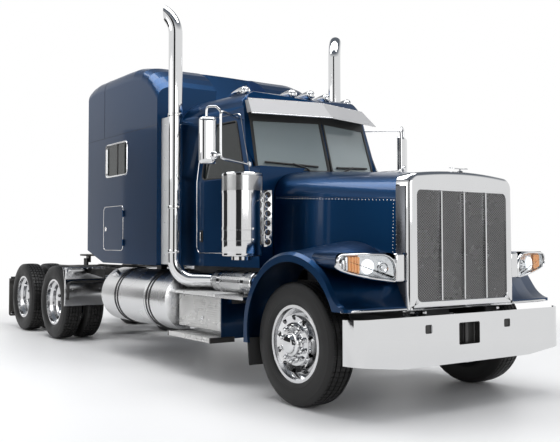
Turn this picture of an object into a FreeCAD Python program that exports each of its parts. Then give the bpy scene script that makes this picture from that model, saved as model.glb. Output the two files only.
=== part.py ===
import FreeCAD, Part
import math
import os

V = FreeCAD.Vector

# A conventional long-nose tractor unit with a high-roof sleeper, in millimetres.
# Stations along the truck are measured from the front axle, forward positive, and
# the finished pieces are shifted so that the origin lies under the middle of the truck.
front_overhang = 883.0
first_wheelbase = 5764.0
tandem_spacing = 1375.0
rear_overhang = 661.0
first_drive_x = -first_wheelbase
second_drive_x = first_drive_x - tandem_spacing
rear_x = second_drive_x - rear_overhang
middle_x = (front_overhang + rear_x) / 2

# Tyres and wheels
tyre_radius = 525.0
tyre_width = 280.0
tread_width = 226.0
bead_radius = 311.0
bead_width = 205.0
shoulder_drop = 14.0
rim_flange = 16.0
rim_lip = 7.0
rim_wall = 10.0
rim_well = 34.0
disc_wall = 14.0
disc_flat = 173.0
disc_knee = 238.0
disc_lap = 4.0
disc_step = 20.0
front_disc_offset = 101.0
front_disc_bulge = 18.0
front_bore = 80.0
rear_bore = 112.0
hub_radius = 95.0
hub_flange = 170.0
hub_flange_wall = 12.0
hub_back = 40.0
front_cap_height = 32.0
front_cap_step = 17.0
rear_hub_reach = 90.0
rear_hub_taper = 7.0
axle_cap_radius = 85.0
axle_cap_height = 30.0
drum_wall = 12.0
front_drum_radius = 205.0
front_drum_front = 40.0
front_drum_back = 70.0
rear_drum_radius = 215.0
rear_drum_front = 30.0
rear_drum_back = 150.0
front_tyre_outside = 1187.0
rear_tyre_outside = 1196.0
dual_spacing = 330.0
hand_holes = 10
hand_hole_radius = 24.0
hand_hole_circle = 222.0
front_tyre_y = front_tyre_outside - tyre_width / 2
outer_dual_y = rear_tyre_outside - tyre_width / 2
inner_dual_y = outer_dual_y - dual_spacing

# Ladder frame
rail_spacing = 864.0
rail_height = 267.0
rail_flange = 89.0
rail_wall = 8.0
rail_top = 1010.0
rail_bottom = rail_top - rail_height
rail_y = rail_spacing / 2
rail_front_x = 690.0
rail_end_gap = 70.0
rail_end_rise = 89.0
rail_rear_x = rear_x + rail_end_gap
crossmember_height = 150.0
crossmember_wall = 8.0
crossmember_width = 90.0
crossmember_x = (-2350.0, -3625.0, -4700.0, -6450.0, -7620.0)

# Steering
kingpin_y = 880.0
kingpin_radius = 22.0
kingpin_clearance = 0.05
eye_radius = 48.0
eye_height = 100.0
boss_radius = 45.0
boss_height = 58.0
boss_gap = 1.0
knuckle_plate = 30.0
knuckle_standoff = 56.0
spindle_radius = 40.0
spindle_reach = 84.0
spindle_clearance = 0.05
arm_back = 200.0
arm_thickness = 30.0
tie_rod_radius = 20.0
tie_end_radius = 28.0
tie_end_half = 24.0
tie_pin_radius = 12.0
tie_pin_clearance = 0.05
open_pin_clearance = 1.0
tie_rod_drop = 32.0

# Front axle and springs
beam_half_width = 45.0
beam_depth = 90.0
beam_drop = 80.0
spring_y = 388.0
spring_width = 90.0
spring_half_length = 640.0
spring_thickness = 50.0
spring_rise = 110.0
spring_pad = 20.0
hanger_wall = 16.0

# Drive axles and rear suspension
drive_tube_radius = 75.0
drive_spindle_radius = 58.0
drive_spindle_reach = 80.0
drive_tube_gap = 170.0
bowl_radius = 205.0
bowl_length = 330.0
bowl_nose_radius = 102.0
output_radius = 72.0
axle_block = 20.0
beam_leaf = 40.0
beam_front = 520.0
beam_rear = 430.0
beam_width = 90.0
beam_y = 420.0
beam_block = 120.0
hanger_length = 100.0
bag_radius = 105.0
bag_x_back = 330.0

# Engine and driveline
engine_back_x = -900.0
engine_front_x = 380.0
engine_half = 312.0
engine_bottom = 640.0
engine_top = 1700.0
engine_mount_length = 120.0
engine_mount_height = 100.0
engine_mount_inset = 150.0
radiator_front_x = 600.0
radiator_depth = 120.0
radiator_half = 450.0
radiator_top = 1780.0
gearbox_length = 800.0
gearbox_radius = 220.0
gearbox_z = 850.0
shaft_radius = 55.0
bearing_z = 640.0
bearing_half = 80.0
shaft_drop = 60.0
pinion_rise = 30.0
output_length = 30.0

# Cab
cab_front_x = -950.0
cab_back_x = -2440.0
cab_bottom = 1133.0
cab_belt = 2025.0
cab_side_top = 2760.0
cab_front_half = 860.0
cab_back_half = 1000.0
cab_side_lean = 95.0
wall = 50.0
glass = 6.0
glass_inset = 14.0
cab_shoulder = 260.0
cab_crown = 3020.0
cab_roof_mid_x = -1820.0
cab_roof_start_x = -1060.0
cab_roof_start_z = 2830.0
cab_roof_back_drop = 330.0
screen_bottom_x = -908.0
screen_bottom_z = 2128.0
screen_corner_x = -1130.0
screen_corner_y = 800.0
screen_slope = 0.302
screen_post_half = 35.0
screen_sill = 45.0
screen_low_half = 735.0
screen_top_half = 660.0
screen_top = 2630.0
screen_corner = 45.0
mount_length = 120.0
cab_mount_x = (-1100.0, -2240.0)
sleeper_mount_x = (-2736.0, -3890.0)
boot_rim = 60.0

# Sleeper
sleeper_front_x = -2536.0
sleeper_back_x = -4525.0
sleeper_bottom = 1127.0
sleeper_half = 1160.0
sleeper_shoulder = 130.0
sleeper_crest = 3495.0
sleeper_brow_run = 900.0
sleeper_brow_drop = 330.0
sleeper_tail_run = 260.0
sleeper_tail_drop = 50.0
recess_half = 385.0
recess_front_top = 2900.0
recess_back_x = -3060.0
sleeper_cut_x = -4010.0
sleeper_cut_z = 1280.0
passage_half = 420.0
passage_bottom = 1300.0
passage_top = 2650.0

# Doors
door_front_x = -1085.0
door_back_x = -1990.0
door_bottom = 1270.0
door_top = 2700.0
door_gap = 6.0
door_corner = 70.0
door_post_lean = 280.0
door_window_front = 95.0
door_window_lean = 235.0
door_window_back = 90.0
door_window_sill = 20.0
door_window_drop = 75.0
window_corner = 45.0
door_hinge_x = -1058.0
door_hinge_y = 888.0
door_hinge_z = (1400.0, 1900.0)
hinge_radius = 14.0
hinge_length = 120.0
hinge_gap = 0.5
hinge_clearance = 0.05
hinge_seat = 20.0
hinge_foot = 30.0
baggage_hinge_forward = 14.0
baggage_hinge_out = 10.0
baggage_hinge_z = (1340.0, 1690.0)
baggage_hinge_radius = 9.0
baggage_hinge_length = 80.0
baggage_hinge_seat = 15.0
baggage_hinge_foot = 25.0
baggage_front_x = -3420.0
baggage_back_x = -4000.0
baggage_bottom = 1286.0
baggage_top = 1827.0
baggage_corner = 60.0
sleeper_window_front = -3315.0
sleeper_window_back = -3930.0
sleeper_window_bottom = 2200.0
sleeper_window_top = 2600.0

# Hood, grille and fenders
hood_front_x = 668.0
hood_rear_x = -938.0
hood_wall = 10.0
hood_bottom = 1135.0
nose_x = 836.0
nose_bottom = 827.0
nose_return_x = 755.0
nose_half = 642.0
nose_side_top = 1716.0
nose_side_half = 621.0
nose_crown = 1975.0
nose_shoulder = 150.0
nose_edge = 30.0
hood_rear_half = 705.0
hood_rear_rise = 128.0
hood_rear_lean = 20.0
hood_pivot_x = 800.0
hood_pivot_z = 808.0
hood_pin_radius = 10.0
hood_pin_clearance = 0.05
hood_ear = 20.0
ear_radius = 14.0
mount_round = 12.0
mount_wall = 12.0
grille_half = 546.0
grille_bottom = 904.0
grille_top = 1802.0
grille_corner = 45.0
arch_x = 30.0
arch_z = 600.0
arch_outside = 700.0
arch_inside = 617.0
arch_tunnel = 680.0
fender_half = 1247.0
fender_front_x = 761.0
fender_front_bottom = 840.0
fender_rear_bottom = 481.0
fender_wall = 10.0
fender_inner_rise = 90.0
fender_inner_reach = 75.0
fender_inner_front_x = 800.0
fender_start_half = 582.0
fender_edge = 26.0
fender_front_turn = 28.0
headlamp_inner_y = 742.0
headlamp_outer_y = 1288.0
headlamp_bottom = 1062.0
headlamp_top = 1295.0
headlamp_outer_bottom = 1180.0
headlamp_front_x = 822.0
headlamp_sweep = 11.0
headlamp_depth = 420.0
headlamp_corner = 45.0
neck_width = 40.0
mesh_columns = 18
mesh_rows = 15
mesh_bar = 9.0
mesh_sheet = 4.0
divider_width = 16.0
divider_gap = 0.3

# Bumper
bumper_top = 792.0
bumper_bottom = 390.0
bumper_half = 1279.0
bumper_wrap = 118.0
bumper_wall = 6.0
bumper_flat_half = 1120.0
bumper_taper_y = 759.0
bumper_taper_z = 445.0
tow_half = 127.0
tow_bottom = 537.0
tow_top = 718.0
tow_corner = 14.0
hook_y = 480.0
hook_half = 40.0
hook_bottom = 650.0
hook_top = 720.0
mount_step_z = 900.0
mount_back_x = 560.0
mount_front_x = 650.0
mount_foot_z = 560.0
mount_toe_z = 500.0
mount_top_gap = 34.0

# Tanks, steps and stacks
tank_radius = 330.0
tank_y = 850.0
tank_z = 735.0
tank_front_x = -2255.0
tank_back_x = -4050.0
tank_dome = 45.0
tank_cap_x = -3850.0
tank_cap_radius = 55.0
tank_cap_height = 32.0
tank_cap_lean = 38.0
strap_width = 60.0
strap_wall = 5.0
strap_x = (-2840.0, -3640.0)
strap_arm_top = 775.0
strap_arm_bottom = 763.0
box_front_x = -1350.0
box_back_x = -2200.0
box_outside = 1050.0
box_inside = 470.0
box_bottom = 490.0
box_top = 830.0
upper_step_z = 870.0
upper_step_outside = 1150.0
upper_step_front_x = -800.0
lower_step_z = 430.0
lower_step_outside = 1180.0
step_wall = 30.0
box_edge = 12.0
box_bracket_inset = 100.0
box_web_inset = 60.0
box_web_inside = 670.0
box_web_outside = 950.0
upper_step_inside = 570.0
upper_step_back_x = -1960.0
step_post_x = -1340.0
lower_step_inside = 900.0
lower_step_past = 30.0
lower_step_leg = 50.0
canister_radius = 108.0
canister_front_x = -1010.0
canister_back_x = -1760.0
canister_y = 820.0
canister_z = 980.0
canister_band = 4.0
saddle_width = 60.0
stack_x = -2182.0
stack_y = 1121.0
stack_radius = 76.0
stack_wall = 4.0
stack_top = 3976.0
stack_tip_radius = 295.0
stack_tip_turn = 75.0
stack_tip_cut = 45.0
stack_tip_heading = 45.0
elbow_radius = 220.0
shield_front_x = -2345.0
shield_y = 1098.0
shield_wall = 5.0
stack_bracket_z = (1500.0, 2100.0, 2650.0)
stack_bracket_height = 40.0
shield_bottom = 1140.0
shield_top = 2770.0
cleaner_x = -870.0
cleaner_y = 1115.0
cleaner_radius = 190.0
cleaner_bottom = 1250.0
cleaner_top = 2030.0
cleaner_outlet = 100.0
cleaner_outlet_drop = 35.0
cleaner_band = 4.0
cleaner_band_height = 22.0
cleaner_band_z = (1400.0, 1500.0, 1840.0)
cleaner_bracket_z = (1600.0, 1760.0)
light_bar_x = -750.0
light_bar_y = 920.0
light_bar_bottom = 1355.0
light_bar_top = 1855.0
light_bar_depth = 30.0
light_bar_width = 44.0
light_count = 6
light_radius = 24.0

# Fifth wheel
coupling_x = -6400.0
coupling_pivot_z = 1105.0
coupling_top = 1200.0
coupling_radius = 483.0
kingpin_seat = 25.4
coupling_wall = 25.0
coupling_foot_length = 600.0
coupling_foot_wall = 15.0
coupling_foot_width = 80.0
coupling_ear_length = 120.0
coupling_ear_width = 30.0
coupling_ear_top = 35.0
coupling_bar_length = 80.0
coupling_gap = 6.0
coupling_lug_width = 39.0
coupling_lug_length = 100.0
coupling_lug_drop = 30.0
coupling_pin_radius = 20.0
coupling_pin_length = 55.0
coupling_pin_clearance = 0.05
throat_half = 30.0
throat_mouth_half = 160.0
throat_length = 600.0

# Roof, mirrors and rear fittings
visor_low_x = -878.0
visor_low_z = 2658.0
visor_top_x = -1047.0
visor_top_z = 2837.0
visor_corner_x = -1128.0
visor_corner_y = 829.0
visor_corner_z = 2670.0
visor_top_corner_x = -1290.0
visor_top_corner_y = 770.0
visor_top_corner_z = 2852.0
visor_wall = 6.0
visor_plate = 8.0
visor_plate_y = (250.0, 770.0)
visor_plate_bottom = 2700.0
visor_plate_inset = 45.0
roof_lamp_places = ((-1249.0, 0.0, 2948.0), (-1261.0, 232.0, 2939.0), (-1457.0, 695.0, 2955.0))
roof_lamp_radius = 36.0
roof_lamp_length = 170.0
roof_lamp_front = 55.0
roof_lamp_foot = 28.0
mirror_post_x = -1110.0
mirror_post_y = 1200.0
mirror_post_bottom = 2205.0
mirror_post_top = 2634.0
mirror_tube = 13.0
mirror_back_x = -1220.0
mirror_front_x = -1112.0
mirror_inner_y = 1300.0
mirror_outer_y = 1408.0
mirror_bottom = 2126.0
mirror_top = 2609.0
mirror_edge = 34.0
mirror_root_top = (-1400.0, 780.0, 2640.0)
mirror_root_low = (-1150.0, 850.0, 2150.0)
seat_front_x = -1650.0
seat_back_x = -2150.0
seat_inside = 200.0
seat_outside = 680.0
seat_bottom = 1500.0
seat_cushion = 120.0
seat_edge = 35.0
seat_rest_x = -2200.0
seat_rest_front_x = -2080.0
seat_rest_bottom = 1560.0
seat_rest_top = 2300.0
seat_post_x = (-2050.0, -1750.0)
seat_post_y = (320.0, 560.0)
dash_back_x = -1350.0
dash_bottom = 1500.0
dash_face_top = 1860.0
dash_brow_x = -1290.0
dash_top = 1980.0
dash_half = 740.0
dash_edge = 30.0
column_y = 430.0
column_foot = (-1350.0, 1850.0)
column_head = (-1500.0, 1930.0)
column_radius = 30.0
steering_radius = 220.0
steering_grip = 16.0
steering_hub = 50.0
spoke_half = 12.0
spoke_wall = 16.0
quarter_x = -5095.0
quarter_top_x = -5150.0
quarter_bulge_x = -5083.0
quarter_wall = 12.0
quarter_inside = 660.0
quarter_outside = 1260.0
quarter_bottom = 510.0
quarter_top = 1040.0
quarter_arm_z = 900.0
quarter_arm_radius = 20.0
flap_wall = 12.0
flap_inside = 620.0
flap_bottom = 170.0
flap_top = 820.0
flap_corner = 40.0
flap_arm_wall = 28.0
flap_arm_height = 30.0
flap_plate_height = 170.0
flap_plate_reach = 120.0
lamp_bar_half = 330.0
lamp_bar_bottom = 870.0
lamp_bar_top = 970.0
lamp_bar_depth = 40.0
tail_lamp_radius = 42.0
tail_lamp_depth = 12.0
tail_lamp_y = (90.0, 210.0)


def box(x0, x1, y0, y1, z0, z1):
    return Part.makeBox(abs(x1 - x0), abs(y1 - y0), abs(z1 - z0), V(min(x0, x1), min(y0, y1), min(z0, z1)))


def rod(start, end, radius):
    run = end - start
    return Part.makeCylinder(radius, run.Length, start, run)


def tube(start, end, outside, inside):
    return rod(start, end, outside).cut(rod(start, end, inside))


def outline_face(points, radius=0):
    """A flat face inside the points, its corners turned at the radius."""
    if not radius:
        return Part.Face(Part.makePolygon(points + [points[0]]))
    turns = []
    for index, corner in enumerate(points):
        before = (points[index - 1] - corner).normalize()
        after = (points[(index + 1) % len(points)] - corner).normalize()
        half_angle = before.getAngle(after) / 2
        inward = (before + after).normalize()
        centre = corner + inward * (radius / math.sin(half_angle))
        run = radius / math.tan(half_angle)
        turns.append((corner + before * run, centre - inward * radius, corner + after * run))
    edges = []
    for index, (start, middle, end) in enumerate(turns):
        edges.append(Part.Arc(start, middle, end).toShape())
        edges.append(Part.makeLine(end, turns[(index + 1) % len(turns)][0]))
    return Part.Face(Part.Wire(edges))


def along_x(points, x0, x1, radius=0):
    return outline_face([V(x0, y, z) for y, z in points], radius).extrude(V(x1 - x0, 0, 0))


def along_y(points, y0, y1, radius=0):
    return outline_face([V(x, y0, z) for x, z in points], radius).extrude(V(0, y1 - y0, 0))


def along_z(points, z0, z1, radius=0):
    return outline_face([V(x, y, z0) for x, y in points], radius).extrude(V(0, 0, z1 - z0))


def turned(profile, centre, axis=V(0, 1, 0)):
    """Turn an outline of (radius, place along Y) points about a line along Y through centre."""
    face = outline_face([V(centre.x + r, centre.y + y, centre.z) for r, y in profile])
    return face.revolve(centre, axis, 360)


def moved(shape, x, y=0, z=0):
    copy = shape.copy()
    copy.translate(V(x, y, z))
    return copy


def other_side(shape):
    return shape.mirror(V(0, 0, 0), V(0, 1, 0))


def both_sides(shape):
    return [shape, other_side(shape)]


def joined(shapes):
    result = shapes[0]
    for shape in shapes[1:]:
        result = result.fuse(shape)
    return result.removeSplitter()


def save(name, *shapes):
    solids = [solid for shape in shapes for solid in shape.Solids]
    placed = Part.makeCompound(solids) if len(solids) > 1 else solids[0]
    placed = moved(placed, -middle_x)
    placed.exportStep("parts/" + name + ".step")


def top_curve(points):
    """A smooth curve over a row of points, given for the left half and mirrored."""
    curve = Part.BSplineCurve()
    curve.interpolate(points + [V(p.x, -p.y, p.z) for p in reversed(points[:-1])])
    return curve.toShape()


def smooth_curve(points):
    curve = Part.BSplineCurve()
    curve.interpolate(points)
    return curve.toShape()


def section_under(curve, foot):
    """A closed section: a curve over the top, symmetric in y, and straight legs down to the foot."""
    start, end = curve.Vertexes[0].Point, curve.Vertexes[-1].Point
    mirrored = [V(p.x, -p.y, p.z) for p in reversed(foot)]
    points = [end] + mirrored + foot + [start]
    return Part.Wire([curve] + [Part.makeLine(a, b) for a, b in zip(points, points[1:])])


def rectangle(half, bottom, top):
    return [(-half, bottom), (half, bottom), (half, top), (-half, top)]


# Ladder frame
def frame_rails():
    section = [
        (rail_y, rail_bottom), (rail_y, rail_top), (rail_y - rail_flange, rail_top),
        (rail_y - rail_flange, rail_top - rail_wall), (rail_y - rail_wall, rail_top - rail_wall),
        (rail_y - rail_wall, rail_bottom + rail_wall), (rail_y - rail_flange, rail_bottom + rail_wall),
        (rail_y - rail_flange, rail_bottom)]
    rail = along_x(section, rail_rear_x, rail_front_x)
    bevel = along_y([(rail_rear_x - 1, rail_bottom - 1), (rail_rear_x + rail_height, rail_bottom - 1),
                     (rail_rear_x - 1, rail_top - rail_end_rise)], 0, rail_y + 1)
    return both_sides(rail.cut(bevel))


def crossmember(x):
    inside = rail_y - rail_wall
    top = rail_top - rail_wall
    section = [(x - crossmember_width / 2, top), (x + crossmember_width / 2, top),
               (x + crossmember_width / 2, top - crossmember_height),
               (x + crossmember_width / 2 - crossmember_wall, top - crossmember_height),
               (x + crossmember_width / 2 - crossmember_wall, top - crossmember_wall),
               (x - crossmember_width / 2 + crossmember_wall, top - crossmember_wall),
               (x - crossmember_width / 2 + crossmember_wall, top - crossmember_height),
               (x - crossmember_width / 2, top - crossmember_height)]
    return along_y(section, -inside, inside)


# Front axle, knuckles and steering
def axle_height():
    return tyre_radius


def front_axle():
    z = axle_height()
    low = z - beam_drop
    half = beam_depth / 2
    inner = spring_y + spring_width
    outer = kingpin_y - eye_radius * 0.6
    rise = kingpin_y - 2.2 * eye_radius
    side = [(0, low - half), (inner, low - half), (rise, z - half), (outer, z - half),
            (outer, z + half), (rise, z + half), (inner, low + half), (0, low + half)]
    points = side + [(-y, zz) for y, zz in reversed(side[1:-1])]
    beam = along_x(points, -beam_half_width, beam_half_width)
    parts = [beam]
    for side_sign in (1, -1):
        y = side_sign * kingpin_y
        parts.append(rod(V(0, y, z - eye_height / 2), V(0, y, z + eye_height / 2), eye_radius))
        pad_y = side_sign * spring_y
        parts.append(box(-spring_width, spring_width, pad_y - spring_width / 2, pad_y + spring_width / 2,
                         low + half, low + half + spring_pad))
    axle = joined(parts)
    for y in (kingpin_y, -kingpin_y):
        axle = axle.cut(rod(V(0, y, z - eye_height), V(0, y, z + eye_height),
                            kingpin_radius + kingpin_clearance))
    return axle


def steering_arm_height():
    return axle_height() - eye_height / 2 - boss_gap - boss_height


def knuckle():
    """The left knuckle: bosses above and below the axle eye, the kingpin, the spindle and the arm."""
    z = axle_height()
    y = kingpin_y
    lower = z - eye_height / 2 - boss_gap
    upper = z + eye_height / 2 + boss_gap
    pin = rod(V(0, y, lower - boss_height), V(0, y, upper + boss_height), kingpin_radius)
    bosses = [rod(V(0, y, lower - boss_height), V(0, y, lower), boss_radius),
              rod(V(0, y, upper), V(0, y, upper + boss_height), boss_radius)]
    plate_y = y + knuckle_standoff
    plate = box(-boss_radius, boss_radius, plate_y, plate_y + knuckle_plate,
                lower - boss_height, upper + boss_height)
    lugs = [box(-boss_radius, boss_radius, y, plate_y, lower - boss_height, lower),
            box(-boss_radius, boss_radius, y, plate_y, upper, upper + boss_height)]
    spindle = rod(V(0, plate_y, z), V(0, front_tyre_y + spindle_reach, z), spindle_radius)
    arm_bottom = steering_arm_height()
    across = boss_radius * 0.6
    arm = box(-arm_back, 0, y - across, y + across, arm_bottom, arm_bottom + arm_thickness)
    arm_end = rod(V(-arm_back, y, arm_bottom), V(-arm_back, y, arm_bottom + arm_thickness), across)
    return joined([pin, plate, spindle, arm, arm_end] + bosses + lugs)


def tie_hole(side, clearance):
    z = steering_arm_height()
    y = side * kingpin_y
    return rod(V(-arm_back, y, z - arm_thickness), V(-arm_back, y, z + 2 * arm_thickness),
               tie_pin_radius + clearance)


def tie_rod():
    z = steering_arm_height() - tie_rod_drop
    y = kingpin_y
    bar = rod(V(-arm_back, -y, z), V(-arm_back, y, z), tie_rod_radius)
    pins = [rod(V(-arm_back, s * y, z), V(-arm_back, s * y, steering_arm_height() + arm_thickness),
                tie_pin_radius)
            for s in (1, -1)]
    ends = [rod(V(-arm_back, s * y, z - tie_end_half), V(-arm_back, s * y, z + tie_end_half), tie_end_radius)
            for s in (1, -1)]
    return joined([bar] + pins + ends)


def front_spring():
    base = axle_height() - beam_drop + beam_depth / 2 + spring_pad
    end_z = base + spring_rise
    low = Part.Arc(V(-spring_half_length, 0, end_z), V(0, 0, base), V(spring_half_length, 0, end_z)).toShape()
    high = Part.Arc(V(spring_half_length, 0, end_z + spring_thickness * 0.4),
                    V(0, 0, base + spring_thickness),
                    V(-spring_half_length, 0, end_z + spring_thickness * 0.4)).toShape()
    rear = Part.makeLine(high.Vertexes[-1].Point, low.Vertexes[0].Point)
    front = Part.makeLine(low.Vertexes[-1].Point, high.Vertexes[0].Point)
    band = Part.Face(Part.Wire([low, front, high, rear])).extrude(V(0, spring_width, 0))
    band.translate(V(0, spring_y - spring_width / 2, 0))
    parts = [band]
    for end in (-spring_half_length, spring_half_length):
        eye_z = end_z + spring_thickness * 0.2
        parts.append(rod(V(end, spring_y - spring_width / 2 - hanger_wall, eye_z),
                         V(end, spring_y + spring_width / 2 + hanger_wall, eye_z), spring_thickness * 0.6))
        for y in (spring_y - spring_width / 2 - hanger_wall, spring_y + spring_width / 2):
            parts.append(box(end - spring_thickness, end + spring_thickness, y, y + hanger_wall,
                             eye_z - spring_thickness * 0.8, rail_bottom))
    return joined(parts)


# Wheels
def tyre(y):
    half = tread_width / 2
    wide = tyre_width / 2
    bead = bead_width / 2
    height = tyre_radius - bead_radius
    profile = [(bead_radius, -bead), (bead_radius + rim_flange, -bead),
               (bead_radius + 0.3 * height, -wide * 0.96),
               (bead_radius + 0.52 * height, -wide), (tyre_radius - 0.2 * height, -wide * 0.95),
               (tyre_radius - shoulder_drop, -half), (tyre_radius, -half * 0.85),
               (tyre_radius, half * 0.85), (tyre_radius - shoulder_drop, half),
               (tyre_radius - 0.2 * height, wide * 0.95), (bead_radius + 0.52 * height, wide),
               (bead_radius + 0.3 * height, wide * 0.96), (bead_radius + rim_flange, bead),
               (bead_radius, bead)]
    return turned(profile, V(0, y, tyre_radius))


def rim(y):
    """A drop-centre rim: flanges outside the beads, seats under them and a well between."""
    bead = bead_width / 2
    lip = bead + rim_lip
    inner = bead_radius - rim_wall
    profile = [(bead_radius + rim_flange, -lip), (bead_radius + rim_flange, -bead), (bead_radius, -bead),
               (bead_radius, -bead * 0.6), (bead_radius - rim_well, -bead * 0.3),
               (bead_radius - rim_well, bead * 0.3), (bead_radius, bead * 0.6), (bead_radius, bead),
               (bead_radius + rim_flange, bead), (bead_radius + rim_flange, lip), (inner, lip),
               (inner, bead * 0.6), (inner - rim_well, bead * 0.3), (inner - rim_well, -bead * 0.3),
               (inner, -bead * 0.6), (inner, -lip)]
    return turned(profile, V(0, y, tyre_radius))


def front_disc():
    """The front disc: flat where it bolts to the hub, swelling outward, then back to the rim well."""
    face = front_tyre_y + front_disc_offset
    swell = face + front_disc_bulge
    root = bead_radius - rim_well - disc_lap
    root_y = front_tyre_y + disc_lap
    profile = [(front_bore, face - disc_wall), (front_bore, face), (disc_flat, face), (disc_knee, swell),
               (root, root_y), (root, root_y - disc_step), (disc_knee - disc_wall, swell - disc_wall),
               (disc_flat - disc_wall / 2, face - disc_wall)]
    return turned(profile, V(0, 0, tyre_radius))


def dual_middle():
    return (outer_dual_y + inner_dual_y) / 2


def dual_disc(rim_y, way):
    """One dished disc of the dual wheel: flat on the hub, out to the rim well; way is its side of the hub."""
    middle = dual_middle()
    face = middle + way * disc_wall
    root = bead_radius - rim_well - disc_lap
    profile = [(rear_bore, middle), (rear_bore, face), (disc_flat, face),
               (disc_knee, rim_y - way * 2 * disc_step),
               (root - 2 * disc_lap, rim_y - way * disc_step), (root, rim_y - way * disc_step),
               (root, rim_y - way * 2 * disc_step), (disc_knee + disc_wall, rim_y - way * 3 * disc_step),
               (disc_flat + disc_wall / 2, middle)]
    return turned(profile, V(0, 0, tyre_radius))


def hand_holes_cut(shape, y_from, y_to):
    for index in range(hand_holes):
        turn = 2 * math.pi * (index + 0.5) / hand_holes
        x = hand_hole_circle * math.cos(turn)
        z = tyre_radius + hand_hole_circle * math.sin(turn)
        shape = shape.cut(rod(V(x, y_from, z), V(x, y_to, z), hand_hole_radius))
    return shape


def front_wheel():
    """Rim, disc, drum and hub that turn together on the left spindle."""
    y = front_tyre_y
    face = y + front_disc_offset
    back = face - disc_wall
    end = y + spindle_reach + 2
    bore = spindle_radius + spindle_clearance
    plate = hand_holes_cut(front_disc(), y - tyre_width, y + tyre_width)
    hub = turned([(bore, y - hub_back), (hub_radius, y - hub_back), (hub_radius, back - hub_flange_wall),
                  (hub_flange, back - hub_flange_wall), (hub_flange, back), (front_bore, back),
                  (front_bore, face + front_cap_step),
                  (front_bore - front_cap_step, face + front_cap_height * 0.8),
                  (front_bore - 2 * front_cap_step, face + front_cap_height), (0, face + front_cap_height),
                  (0, end), (bore, end)], V(0, 0, tyre_radius))
    inside = front_drum_radius - drum_wall
    drum = turned([(hub_radius - 1, y + front_drum_front), (front_drum_radius, y + front_drum_front),
                   (front_drum_radius, y - front_drum_back), (inside, y - front_drum_back),
                   (inside, y + front_drum_front - drum_wall),
                   (hub_radius - 1, y + front_drum_front - drum_wall)],
                  V(0, 0, tyre_radius))
    return joined([rim(y), plate, hub, drum])


def rear_wheel():
    """Two rims back to back on one hub, with the drum behind them, on the left."""
    middle = dual_middle()
    outer = hand_holes_cut(dual_disc(outer_dual_y, 1), middle - disc_wall, outer_dual_y)
    inner = dual_disc(inner_dual_y, -1)
    bore = drive_spindle_radius + spindle_clearance
    back = inner_dual_y - 1.5 * hub_back
    seat = middle - disc_wall
    end = middle + rear_hub_reach
    hub = turned([(bore, back), (rear_bore, back), (rear_bore, seat - hub_flange_wall),
                  (hub_flange, seat - hub_flange_wall), (hub_flange, seat), (rear_bore, seat),
                  (rear_bore, middle + disc_wall), (rear_bore - rear_hub_taper, end),
                  (axle_cap_radius, end + rear_hub_taper), (axle_cap_radius, end + axle_cap_height),
                  (0, end + axle_cap_height), (0, end + 2), (bore, end + 2)], V(0, 0, tyre_radius))
    front = inner_dual_y - rear_drum_front
    inside = rear_drum_radius - drum_wall
    drum = turned([(rear_bore - 1, front), (rear_drum_radius, front),
                   (rear_drum_radius, inner_dual_y - rear_drum_back),
                   (inside, inner_dual_y - rear_drum_back), (inside, front - drum_wall),
                   (rear_bore - 1, front - drum_wall)],
                  V(0, 0, tyre_radius))
    return joined([rim(outer_dual_y), rim(inner_dual_y), outer, inner, hub, drum])


# Engine and driveline
def engine():
    block = box(engine_back_x, engine_front_x, -engine_half, engine_half, engine_bottom, engine_top)
    inside = rail_y - rail_wall
    mount_top = rail_top - 2 * rail_wall - engine_mount_height / 2
    mounts = [box(x - engine_mount_length / 2, x + engine_mount_length / 2, -inside, inside,
                  mount_top - engine_mount_height, mount_top)
              for x in (engine_back_x + engine_mount_inset, engine_front_x - engine_mount_inset)]
    return joined([block] + mounts)


def radiator():
    return box(radiator_front_x - radiator_depth, radiator_front_x, -radiator_half, radiator_half, rail_top,
               radiator_top)


def driveline():
    bearing_x = crossmember_x[1]
    half = crossmember_width / 2
    pinion_z = tyre_radius + pinion_rise
    front_end = first_drive_x + bowl_length
    gearbox_back = engine_back_x - gearbox_length
    gearbox = rod(V(engine_back_x, 0, gearbox_z), V(gearbox_back, 0, gearbox_z), gearbox_radius)
    shaft = rod(V(gearbox_back + shaft_radius / 2, 0, gearbox_z - shaft_drop), V(bearing_x, 0, bearing_z),
                shaft_radius)
    bearing = box(bearing_x - half, bearing_x + half, -bearing_half, bearing_half, bearing_z - bearing_half,
                  rail_top - rail_wall - crossmember_height)
    second = rod(V(bearing_x, 0, bearing_z), V(front_end, 0, pinion_z), shaft_radius)
    between = rod(V(first_drive_x - bowl_radius - output_length, 0, pinion_z),
                  V(second_drive_x + bowl_length, 0, pinion_z), shaft_radius)
    ahead = box(front_end, 0, -rail_y, rail_y, 0, 2 * rail_top)
    return joined([gearbox, shaft, bearing, second]).common(ahead), between


# Drive axles
def drive_axle(x):
    z = tyre_radius
    end = inner_dual_y - drive_tube_gap
    reach = dual_middle() + drive_spindle_reach
    nose_z = z + pinion_rise
    parts = [rod(V(x, -end, z), V(x, end, z), drive_tube_radius),
             rod(V(x, -reach, z), V(x, reach, z), drive_spindle_radius),
             Part.makeSphere(bowl_radius, V(x, 0, z)),
             rod(V(x, 0, nose_z), V(x + bowl_length, 0, nose_z), bowl_nose_radius)]
    if x == first_drive_x:
        parts.append(rod(V(x, 0, nose_z), V(x - bowl_radius - output_length, 0, nose_z), output_radius))
    return joined(parts)


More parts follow.
